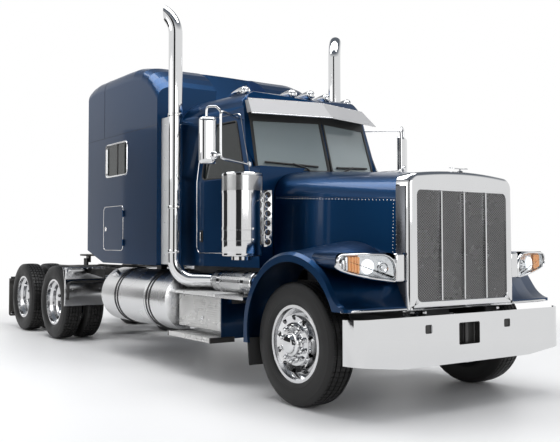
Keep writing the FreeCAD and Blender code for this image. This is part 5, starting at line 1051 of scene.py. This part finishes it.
# Air cleaners: a round polished can on each side of the cowl, its upper part a pierced
# screen under a bright cap, held by two bands with clamps.
polished_stainless = finish("polished_stainless", (0.60, 0.605, 0.61), (0.68, 0.68, 0.685), (0.05, 0.10), metallic=1.0,
                            cloud=3, grain=900, bump=0.02)
screen_steel = finish("screen_steel", (0.30, 0.30, 0.30), (0.40, 0.40, 0.40), (0.3, 0.45), metallic=1.0, grain=500)
screen_low, screen_tall, screen_rows = 1.865, 0.134, 13
for side, sign in sides:
    foot = at(-0.870, sign * 1.115, 0)
    can = turn([(0.0, 1.216), (0.052, 1.216), (0.055, 1.222), (0.055, 1.246), (0.150, 1.252), (0.184, 1.262),
                (0.191, 1.280), (0.191, 1.392), (0.194, 1.394), (0.194, 1.412), (0.191, 1.414), (0.191, 1.492),
                (0.194, 1.494), (0.194, 1.512), (0.191, 1.514), (0.191, 1.848), (0.194, 1.850), (0.194, 1.862),
                (0.186, 1.866), (0.186, 1.998), (0.194, 2.000), (0.195, 2.020), (0.188, 2.029), (0.160, 2.034),
                (0.0, 2.036)], foot, (0, 0, 1), 96)
    complete(can, "air_cleaner_can_" + side, polished_stainless, "chassis", "stainless", smooth=35)
    deselect()
    bpy.ops.mesh.primitive_cylinder_add(vertices=110, radius=0.1905, depth=screen_tall, end_fill_type="NOTHING",
                                        location=foot + Vector((0, 0, screen_low + screen_tall / 2)))
    bpy.ops.object.transform_apply(location=True)
    screen = bpy.context.object
    edit_all()
    for row in range(1, screen_rows):
        bpy.ops.mesh.select_all(action="SELECT")
        bpy.ops.mesh.bisect(plane_co=(0, 0, screen_low + screen_tall * row / screen_rows), plane_no=(0, 0, 1))
    bpy.ops.mesh.select_all(action="SELECT")
    bpy.ops.mesh.inset(thickness=0.0022, use_individual=True)
    bpy.ops.mesh.delete(type="FACE")
    edit_mode(False)
    modify(screen, "SOLIDIFY", thickness=0.0015)
    complete(screen, "air_cleaner_screen_" + side, screen_steel, "chassis", "stainless", smooth=40)
    clamps = [block((0.186, -0.012, z - 0.012), (0.206, 0.012, z + 0.012), 0.004, about=foot)
              for z in (1.403, 1.503)]
    complete(combine(clamps), "air_cleaner_clamps_" + side, chrome, "chassis", "chrome")

# Light bars: six round lamps in chromed bezels face forward on a polished plate beside each
# air cleaner, with a second slim strip behind them.
marker_dark = finish("marker_dark", (0.012, 0.010, 0.010), (0.030, 0.020, 0.018), (0.12, 0.25), cloud=60, grain=200,
                     bump=0.3, Specular_IOR_Level=0.25)
for side, flip in flips:
    facing = flip @ Matrix.Translation(at(-0.728, 0.918, 0)) @ Matrix.Rotation(math.radians(36), 4, "Z")
    plates = [block((-0.006, -0.038, 1.338), (0.002, 0.038, 1.872), 0.003),
              block((-0.060, 0.030, 1.360), (-0.050, 0.060, 1.850), 0.003)]
    lamps, lenses = [], []
    for index in range(6):
        seat = Vector((0.001, 0, 1.383 + index * 0.0888))
        lamps.append(turn([(0.026, 0.0), (0.035, 0.0), (0.035, 0.010), (0.032, 0.016), (0.028, 0.016), (0.026, 0.010)],
                          seat, (1, 0, 0), 24))
        lenses.append(turn([(0.0, 0.0), (0.0268, 0.0), (0.0268, 0.008), (0.018, 0.012), (0.0, 0.014)], seat,
                           (1, 0, 0), 24))
    for made, name, surface, slot in ((plates + lamps, "light_bar_", chrome, "chrome"),
                                      (lenses, "light_bar_lenses_", marker_dark, "red_lens")):
        complete(carry(combine(made), facing), name + side, surface, "chassis", slot, smooth=40)
dress(polished_stainless, "air_cleaners")

# The visor: two polished sheets meet in a vee over the windshield, with a rolled lower edge
# and small screws along its top flange.
visor_steel = finish("visor_steel", (0.30, 0.30, 0.305), (0.35, 0.35, 0.355), (0.55, 0.62), metallic=0.15, cloud=2,
                     grain=700, bump=0.03, Specular_IOR_Level=0.3)
dress(visor_steel, "sun_visor")
rolls = [bar([at(-0.878, 0, 2.658), at(-1.003, sign * 0.4145, 2.664), at(-1.128, sign * 0.829, 2.670)], 0.005)
         for side, sign in sides]
complete(combine(rolls), "visor_rolled_edge", chrome, "chassis", "chrome", smooth=60)
screws = []
for side, sign in sides:
    for step in range(7):
        share = 0.04 + 0.92 * step / 6
        corner = at(-1.047, 0, 2.837).lerp(at(-1.290, sign * 0.770, 2.852), share)
        screws.append((corner + Vector((0.012, 0, -0.010)), (0.7, 0, 0.72)))
complete(buttons(screws, 0.006, 0.004), "visor_screws", chrome, "chassis", "chrome")

# Roof lamps: five chromed bullets on the front edge of the roof, each with a bright
# lens in its forward end, a long tapered tail and a small foot.
bullet_places = [(-1.249, 0.0, 2.948), (-1.261, 0.232, 2.939), (-1.261, -0.232, 2.939), (-1.457, 0.695, 2.955),
                 (-1.457, -0.695, 2.955)]
bullets, ambers = [], []
for ahead, left, up in bullet_places:
    seat = at(ahead, left, up)
    bullets.append(turn([(0.0, -0.285), (0.008, -0.282), (0.020, -0.235), (0.036, -0.150), (0.046, -0.070),
                         (0.050, 0.000), (0.050, 0.020), (0.047, 0.026), (0.040, 0.022), (0.0, 0.022)], seat,
                        (1, 0, 0), 28))
    ambers.append(turn([(0.0, 0.020), (0.040, 0.020), (0.040, 0.028), (0.028, 0.042), (0.0, 0.048)], seat, (1, 0, 0),
                       24))
    bullets.append(block((-0.125, -0.016, -0.085), (0.000, 0.016, -0.030), 0.006, about=seat))
complete(combine(bullets), "roof_bullets", chrome, "chassis", "chrome", ("roof_lamps",), 60)
complete(combine(ambers), "roof_bullet_lenses", lamp_mirror, "chassis", "clear_glass", smooth=60)

# Exhaust stacks and shields: chromed pipes with two band clamps each, and a long brushed
# plate with small bolts between stack and sleeper.
stainless = finish("stainless", (0.66, 0.66, 0.65), (0.72, 0.72, 0.71), (0.45, 0.58), metallic=0.55, cloud=2, grain=900,
                   bump=0.04)
dress(stainless, "stack_shields")
dress(chrome, "exhaust_stacks")
for side, sign in sides:
    centre = at(-2.182, sign * 1.121, 0)
    clamps = []
    for z in (1.285, 1.760, 2.760):
        clamps.append(turn([(0.0765, z - 0.018), (0.0800, z - 0.018), (0.0815, z - 0.012), (0.0815, z + 0.012),
                            (0.0800, z + 0.018), (0.0765, z + 0.018)], centre, (0, 0, 1), 48))
        clamps.append(block((0.078, -0.010, z - 0.010), (0.100, 0.010, z + 0.010), 0.003, about=centre))
    complete(combine(clamps), "stack_clamps_" + side, polished_stainless, "chassis", "chrome", smooth=40)
    places = [(at(-2.440, sign * 1.1035, z), (0, sign, 0)) for z in (1.24, 1.60, 1.96, 2.32, 2.68)]
    complete(buttons(places, 0.009, 0.005), "shield_bolts_" + side, chrome, "chassis", "chrome")

# Fuel tanks: satin aluminium drums under the sleeper, each held by two polished straps over
# black rubber, with a filler cap near the rear end.
tank_metal = finish("tank_metal", (0.66, 0.665, 0.67), (0.76, 0.76, 0.765), (0.20, 0.30), metallic=1.0, cloud=1.6,
                    grain=1100, bump=0.015, dust=0.1)
dress(tank_metal, "fuel_tanks")
for side, sign in sides:
    centre = at(0, sign * 0.850, 0.735)
    edges = [turn([(0.331, place - 0.005), (0.3375, place - 0.005), (0.3375, place + 0.005), (0.331, place + 0.005)],
                  centre, (1, 0, 0), 72) for place in (-2.754, -2.686, -3.594, -3.526)]
    complete(combine(edges), "tank_strap_rubber_" + side, seal_rubber, "chassis", "black_rubber", smooth=40)

# Step boxes: a ribbed aluminium face with a round latch, a ribbed tread on top, a pierced
# lower step with black end caps, and a painted panel that closes the box at the front. Behind it
# under the cab stands a black panel of painted shade, for the deep shade under the cab.


def ruled(name, colour, second, across_axis, pitch, depth=0.002, metallic=1.0):
    """Metal ruled with fine straight ridges, counted along one axis."""
    made = finish(name, colour, second, (0.22, 0.34), metallic=metallic, cloud=4, grain=700, bump=0.1, dust=0.15)
    tree = made.node_tree
    ridges = shade(tree, "TexWave", {"Vector": shade(tree, "TexCoord").outputs["Object"], "Distortion": 0.0,
                                     "Scale": math.tau / (20 * pitch)}, bands_direction=across_axis)
    relief = shade(tree, "Bump", {"Strength": 0.6, "Distance": depth, "Height": ridges.outputs["Fac"]})
    tree.links.new(relief.outputs["Normal"], tree.nodes["Principled BSDF"].inputs["Normal"])
    return made


ribbed_face = ruled("ribbed_face", (0.60, 0.595, 0.58), (0.70, 0.695, 0.68), "Z", 0.022, metallic=0.35)
ribbed_tread = ruled("ribbed_tread", (0.62, 0.62, 0.61), (0.72, 0.72, 0.71), "Y", 0.024, metallic=0.3)
dress(polished_aluminium, "step_boxes", "exhaust_canister")
for side, sign in sides:
    face = block(at(-2.195, sign * 1.048, 0.500), at(-1.352, sign * 1.056, 0.826), 0.003)
    complete(face, "step_box_face_" + side, ribbed_face, "chassis", "polished_aluminium")
    latch = turn([(0.0, 0.0), (0.026, 0.0), (0.028, 0.003), (0.024, 0.007), (0.014, 0.007), (0.012, 0.003),
                  (0.0, 0.003)], at(-1.70, sign * 1.056, 0.600), (0, sign, 0), 28)
    complete(latch, "step_box_latch_" + side, chrome, "chassis", "chrome")
    tread = block(at(-2.190, sign * 0.575, 0.846), at(-1.300, sign * 1.152, 0.874), 0.005)
    complete(tread, "upper_tread_" + side, ribbed_tread, "chassis", "polished_aluminium")
    panel = block(at(-1.349, sign * 0.480, 0.420), at(-1.338, sign * 1.052, 0.845), 0.004)
    complete(panel, "step_front_panel_" + side, blue_paint, "chassis", "blue_paint")
    deselect()
    bpy.ops.mesh.primitive_grid_add(x_subdivisions=46, y_subdivisions=15, size=1,
                                    location=at(-1.777, sign * (0.905 + 1.176) / 2, 0.433))
    pierced = bpy.context.object
    pierced.scale = (0.84, 0.268, 1)
    bpy.ops.object.transform_apply(location=True, rotation=True, scale=True)
    edit_all()
    bpy.ops.mesh.inset(thickness=0.0050, use_individual=True)
    bpy.ops.mesh.delete(type="FACE")
    edit_mode(False)
    modify(pierced, "SOLIDIFY", thickness=0.004)
    rims = [block(at(-2.200, sign * (0.905 - 0.007), 0.390), at(-1.355, sign * (0.905 + 0.006), 0.438), 0.003),
            block(at(-2.200, sign * (1.176 - 0.006), 0.390), at(-1.355, sign * (1.176 + 0.007), 0.438), 0.003)]
    complete(pierced, "lower_step_tread_" + side, ribbed_tread, "chassis", "polished_aluminium")
    complete(combine(rims), "lower_step_rims_" + side, ribbed_face, "chassis", "polished_aluminium")
    caps = [block(at(-1.356, sign * (0.905 - 0.009), 0.387), at(-1.332, sign * (1.176 + 0.009), 0.441), 0.006),
            block(at(-2.222, sign * (0.905 - 0.009), 0.387), at(-2.199, sign * (1.176 + 0.009), 0.441), 0.006)]
    complete(combine(caps), "lower_step_ends_" + side, black_paint, "chassis", "chassis_black")
    # This black panel under the cab is painted shade, standing for the deep shade under the cab behind the canister.
    under_cab_shade = block(at(-2.420, sign * 0.735, 0.885), at(-1.000, sign * 0.745, 1.150), 0.003)
    complete(under_cab_shade, "cab_shade_panel_" + side, black_paint, "chassis", "chassis_black")

# The exhaust canisters lie along the cab under the doors: a ribbed chromed guard with bright
# rolled ends.
guard_chrome = ruled("guard_chrome", (0.64, 0.645, 0.65), (0.70, 0.70, 0.705), "Z", 0.030, 0.0025)
for side, sign in sides:
    centre = at(0, sign * 0.820, 0.980)
    guard = turn([(0.1085, -1.735), (0.1105, -1.735), (0.1105, -1.035), (0.1085, -1.035)], centre, (1, 0, 0), 64)
    complete(guard, "canister_guard_" + side, guard_chrome, "chassis", "chrome", smooth=40)
    ends = []
    for ahead, turned in ((-1.010, 1), (-1.760, -1)):
        ends.append(turn([(0.0, 0.004), (0.070, 0.004), (0.092, 0.001), (0.104, -0.004), (0.1115, -0.014),
                          (0.1115, -0.030), (0.108, -0.032), (0.0, -0.032)], centre + Vector((ahead, 0, 0)),
                         (turned, 0, 0), 48))
    complete(combine(ends), "canister_ends_" + side, chrome, "chassis", "chrome", smooth=40)

# Quarter fenders: a polished plate in front of the first drive tyres with a bent tube behind
# it, a bright band over its top and a second polished sheet riveted above.
dress(polished_aluminium, "quarter_fenders")
for side, sign in sides:
    band = block(at(-5.082, sign * 0.662, 0.880), at(-5.072, sign * 1.258, 1.010), 0.003)
    edit_mode()
    choose(lambda middle, normal: normal.z > 0.9)
    bpy.ops.transform.translate(value=(-0.050, 0, 0))
    edit_mode(False)
    rim = block(at(-5.084, sign * 1.246, 0.512), at(-5.070, sign * 1.2595, 0.885), 0.003)
    complete(combine([band, rim]), "quarter_fender_band_" + side, chrome, "chassis", "chrome")
    upper = block(at(-5.150, sign * 0.665, 1.005), at(-5.128, sign * 1.245, 1.038), 0.004)
    complete(upper, "quarter_fender_flap_" + side, polished_aluminium, "chassis", "polished_aluminium")
    rivets = [(at(-5.127, sign * (0.69 + 0.075 * step), 1.022), (1, 0, 0.1)) for step in range(8)]
    rivets += [(at(-5.070, sign * (0.75 + 0.40 * step), 0.74), (1, 0, 0)) for step in range(2)]
    complete(buttons(rivets, 0.007, 0.004), "quarter_fender_rivets_" + side, chrome, "chassis", "chrome")
    tube = bar([at(-5.062, sign * 0.68, 0.845), at(-5.062, sign * 1.10, 0.845), at(-5.062, sign * 1.205, 0.835),
                at(-5.062, sign * 1.215, 0.74), at(-5.062, sign * 1.215, 0.60)], 0.014)
    complete(tube, "quarter_fender_tube_" + side, black_paint, "chassis", "chassis_black", smooth=60)

# Mud flaps and tail lamps: rubber flaps with a polished hanger strip and bottom weight, and
# bright rims round the red lamps between the rails.
flap_rubber = finish("flap_rubber", (0.02, 0.02, 0.02), (0.035, 0.034, 0.033), (0.6, 0.8), bump=0.2, dust=0.4)
dress(flap_rubber, "mud_flaps")
for side, sign in sides:
    strips = [block(at(-7.800, sign * 0.622, 0.782), at(-7.786, sign * 1.194, 0.818), 0.003),
              block(at(-7.800, sign * (0.622 + 0.03), 0.196), at(-7.786, sign * (1.194 - 0.03), 0.236), 0.003)]
    complete(combine(strips), "flap_strips_" + side, chrome, "chassis", "chrome")
tail_rims = [turn([(0.040, 0.0), (0.047, 0.0), (0.047, 0.010), (0.044, 0.014), (0.040, 0.012)], at(-7.7165, y, 0.920),
                  (-1, 0, 0), 32) for y in (-0.21, -0.09, 0.09, 0.21)]
complete(combine(tail_rims), "tail_lamp_rims", chrome, "chassis", "chrome", smooth=40)

# Deck plate: a bright tread sheet bolted over the rails behind the sleeper, where the driver
# stands to couple the air lines.
deck = block(at(-5.050, -0.430, 1.011), at(-4.560, 0.430, 1.018), 0.002)
complete(deck, "deck_plate", ribbed_tread, "chassis", "polished_aluminium")
deck_bolts = [(at(ahead, sign * 0.405, 1.018), (0, 0, 1)) for ahead in (-5.02, -4.80, -4.59) for side, sign in sides]
complete(buttons(deck_bolts, 0.009, 0.005), "deck_bolts", chrome, "chassis", "chrome")

# Seats: two high-backed air-ride seats in grey cloth over foam, each cushion and back
# stuffed tight and sewn in upright channels, on a black pedestal.
seat_cloth = finish("seat_cloth", (0.075, 0.078, 0.085), (0.11, 0.112, 0.12), (0.75, 0.92), cloud=14, grain=900,
                    bump=0.5, depth=0.0008, Sheen_Weight=0.3, Sheen_Roughness=0.5)
most_swell, seam_reach, seam_size = 0.022, 0.020, 0.007


def stuffed(low, high, channels, front_axis):
    """A cushion: a rounded block, remeshed fine, blown up by cloth pressure, then sewn in channels."""
    pad = block(Vector(low) + Vector((0.012, 0.012, 0.012)), Vector(high) - Vector((0.012, 0.012, 0.012)), 0.030, 3)
    modify(pad, "REMESH", mode="VOXEL", voxel_size=0.006)
    bpy.ops.object.modifier_apply(modifier="remesh")
    before = [vertex.co.copy() for vertex in pad.data.vertices]
    cloth = pad.modifiers.new("cloth", "CLOTH")
    cloth.settings.use_pressure = True
    cloth.settings.uniform_pressure_force = 4.0
    cloth.settings.effector_weights.gravity = 0.0
    cloth.settings.quality = 5
    cloth.point_cache.frame_start, cloth.point_cache.frame_end = 1, 20
    for step in range(1, 21):
        bpy.context.scene.frame_set(step)
    take(pad)
    bpy.ops.object.modifier_apply(modifier=cloth.name)
    bpy.context.scene.frame_set(1)
    middle = (Vector(low) + Vector(high)) / 2
    for vertex, start in zip(pad.data.vertices, before):
        move = vertex.co - start
        if move.length > most_swell:
            vertex.co = start + move.normalized() * most_swell
        outward = vertex.co - middle
        for line in channels:
            away = abs(vertex.co.y - line)
            if away < seam_reach and outward[front_axis] > 0:
                vertex.co[front_axis] -= seam_size * math.exp(-(away / seam_size) ** 2)
        for axis in range(3):
            vertex.co[axis] = min(max(vertex.co[axis], low[axis] - 0.006), high[axis] + 0.006)
    return pad


driver_y = 0.440
channel_lines = [driver_y + offset for offset in (-0.12, -0.04, 0.04, 0.12)]
cushion = stuffed(at(-2.150, 0.200, 1.500), at(-1.650, 0.680, 1.620), channel_lines, 2)
back = stuffed(at(-2.200, 0.200, 1.640), at(-2.080, 0.680, 2.300), channel_lines, 0)
pedestal = [block(at(-2.120, 0.225, 1.440), at(-1.700, 0.655, 1.502), 0.012),
            block(at(-2.040, 0.330, 1.240), at(-1.760, 0.550, 1.445), 0.020),
            block(at(-2.090, 0.290, 1.184), at(-1.710, 0.590, 1.245), 0.010)]
for rib in range(5):
    pedestal.append(block(at(-2.048, 0.322, 1.262 + rib * 0.034), at(-1.752, 0.558, 1.276 + rib * 0.034), 0.006))
pedestal = combine(pedestal)
piping = bar([at(ahead, left, 1.560) for ahead, left in (
    (-2.130, 0.205), (-2.050, 0.201), (-1.750, 0.201), (-1.660, 0.206), (-1.648, 0.26), (-1.648, 0.62), (-1.660, 0.674),
    (-1.750, 0.679), (-2.050, 0.679), (-2.130, 0.675))], 0.004)
for side, flip in flips:
    for made, name in ((cushion, "seat_cushion_"), (back, "seat_back_")):
        pad = complete(duplicate(made, flip), name + side, seat_cloth, "chassis", "seat_fabric",
                       ("seats",) if (name, side) == ("seat_cushion_", "left") else (), 60)
    complete(duplicate(pedestal, flip), "seat_pedestal_" + side, black_paint, "chassis", "chassis_black")
    complete(duplicate(piping, flip), "seat_piping_" + side, seal_rubber, "chassis", "black_rubber", smooth=60)
remove(cushion, back, pedestal, piping)

# Dashboard: a moulded black panel with a soft grain, round gauges in bright rims before the
# driver, a switch row and the steering wheel.
trim_plastic = finish("trim_plastic", (0.05, 0.05, 0.055), (0.07, 0.07, 0.075), (0.5, 0.65), grain=900, bump=0.4)
dress(trim_plastic, "dashboard")
gauge_face = finish("gauge_face", (0.012, 0.012, 0.013), (0.03, 0.03, 0.03), (0.1, 0.2), cloud=80, grain=300, bump=0.1)
rims, faces = [], []
for left, up, radius in ((0.50, 1.760, 0.052), (0.36, 1.760, 0.052), (0.62, 1.720, 0.028), (0.62, 1.790, 0.028),
                         (0.24, 1.790, 0.028), (0.24, 1.720, 0.028), (0.12, 1.755, 0.028), (0.04, 1.755, 0.028)):
    seat = at(-1.3505, left, up)
    rims.append(turn([(radius - 0.004, 0.0), (radius, 0.0), (radius, 0.006), (radius - 0.004, 0.008)], seat,
                     (-1, 0, 0), 28))
    faces.append(turn([(0.0, 0.0), (radius - 0.004, 0.0), (radius - 0.004, 0.003), (0.004, 0.004), (0.0, 0.006)], seat,
                      (-1, 0, 0), 28))
complete(combine(rims), "gauge_rims", chrome, "chassis", "chrome", smooth=40)
complete(combine(faces), "gauge_faces", gauge_face, "chassis", "trim_plastic", smooth=40)
switches = [block(at(-1.362, 0.060 - index * 0.034, 1.630), at(-1.349, 0.084 - index * 0.034, 1.662), 0.003)
            for index in range(14)]
complete(combine(switches), "dash_switches", black_paint, "chassis", "trim_plastic")

# What is left of the CAD pieces: red tail lenses, tinted side glass and the rubber boot
# between cab and sleeper.
red_lens = finish("red_lens", (0.35, 0.008, 0.006), (0.45, 0.012, 0.01), (0.05, 0.12), cloud=60, grain=220, bump=0.3)
dark_glass = finish("dark_glass", (0.035, 0.045, 0.045), (0.03, 0.038, 0.038), (0.0, 0.03), bump=0.0,
                    Transmission_Weight=0.6, IOR=1.45)
dress(black_rubber, "cab_boot")
dress(red_lens, "tail_lamps")
dress(dark_glass, "sleeper_windows", "door_glass_left", "door_glass_right")
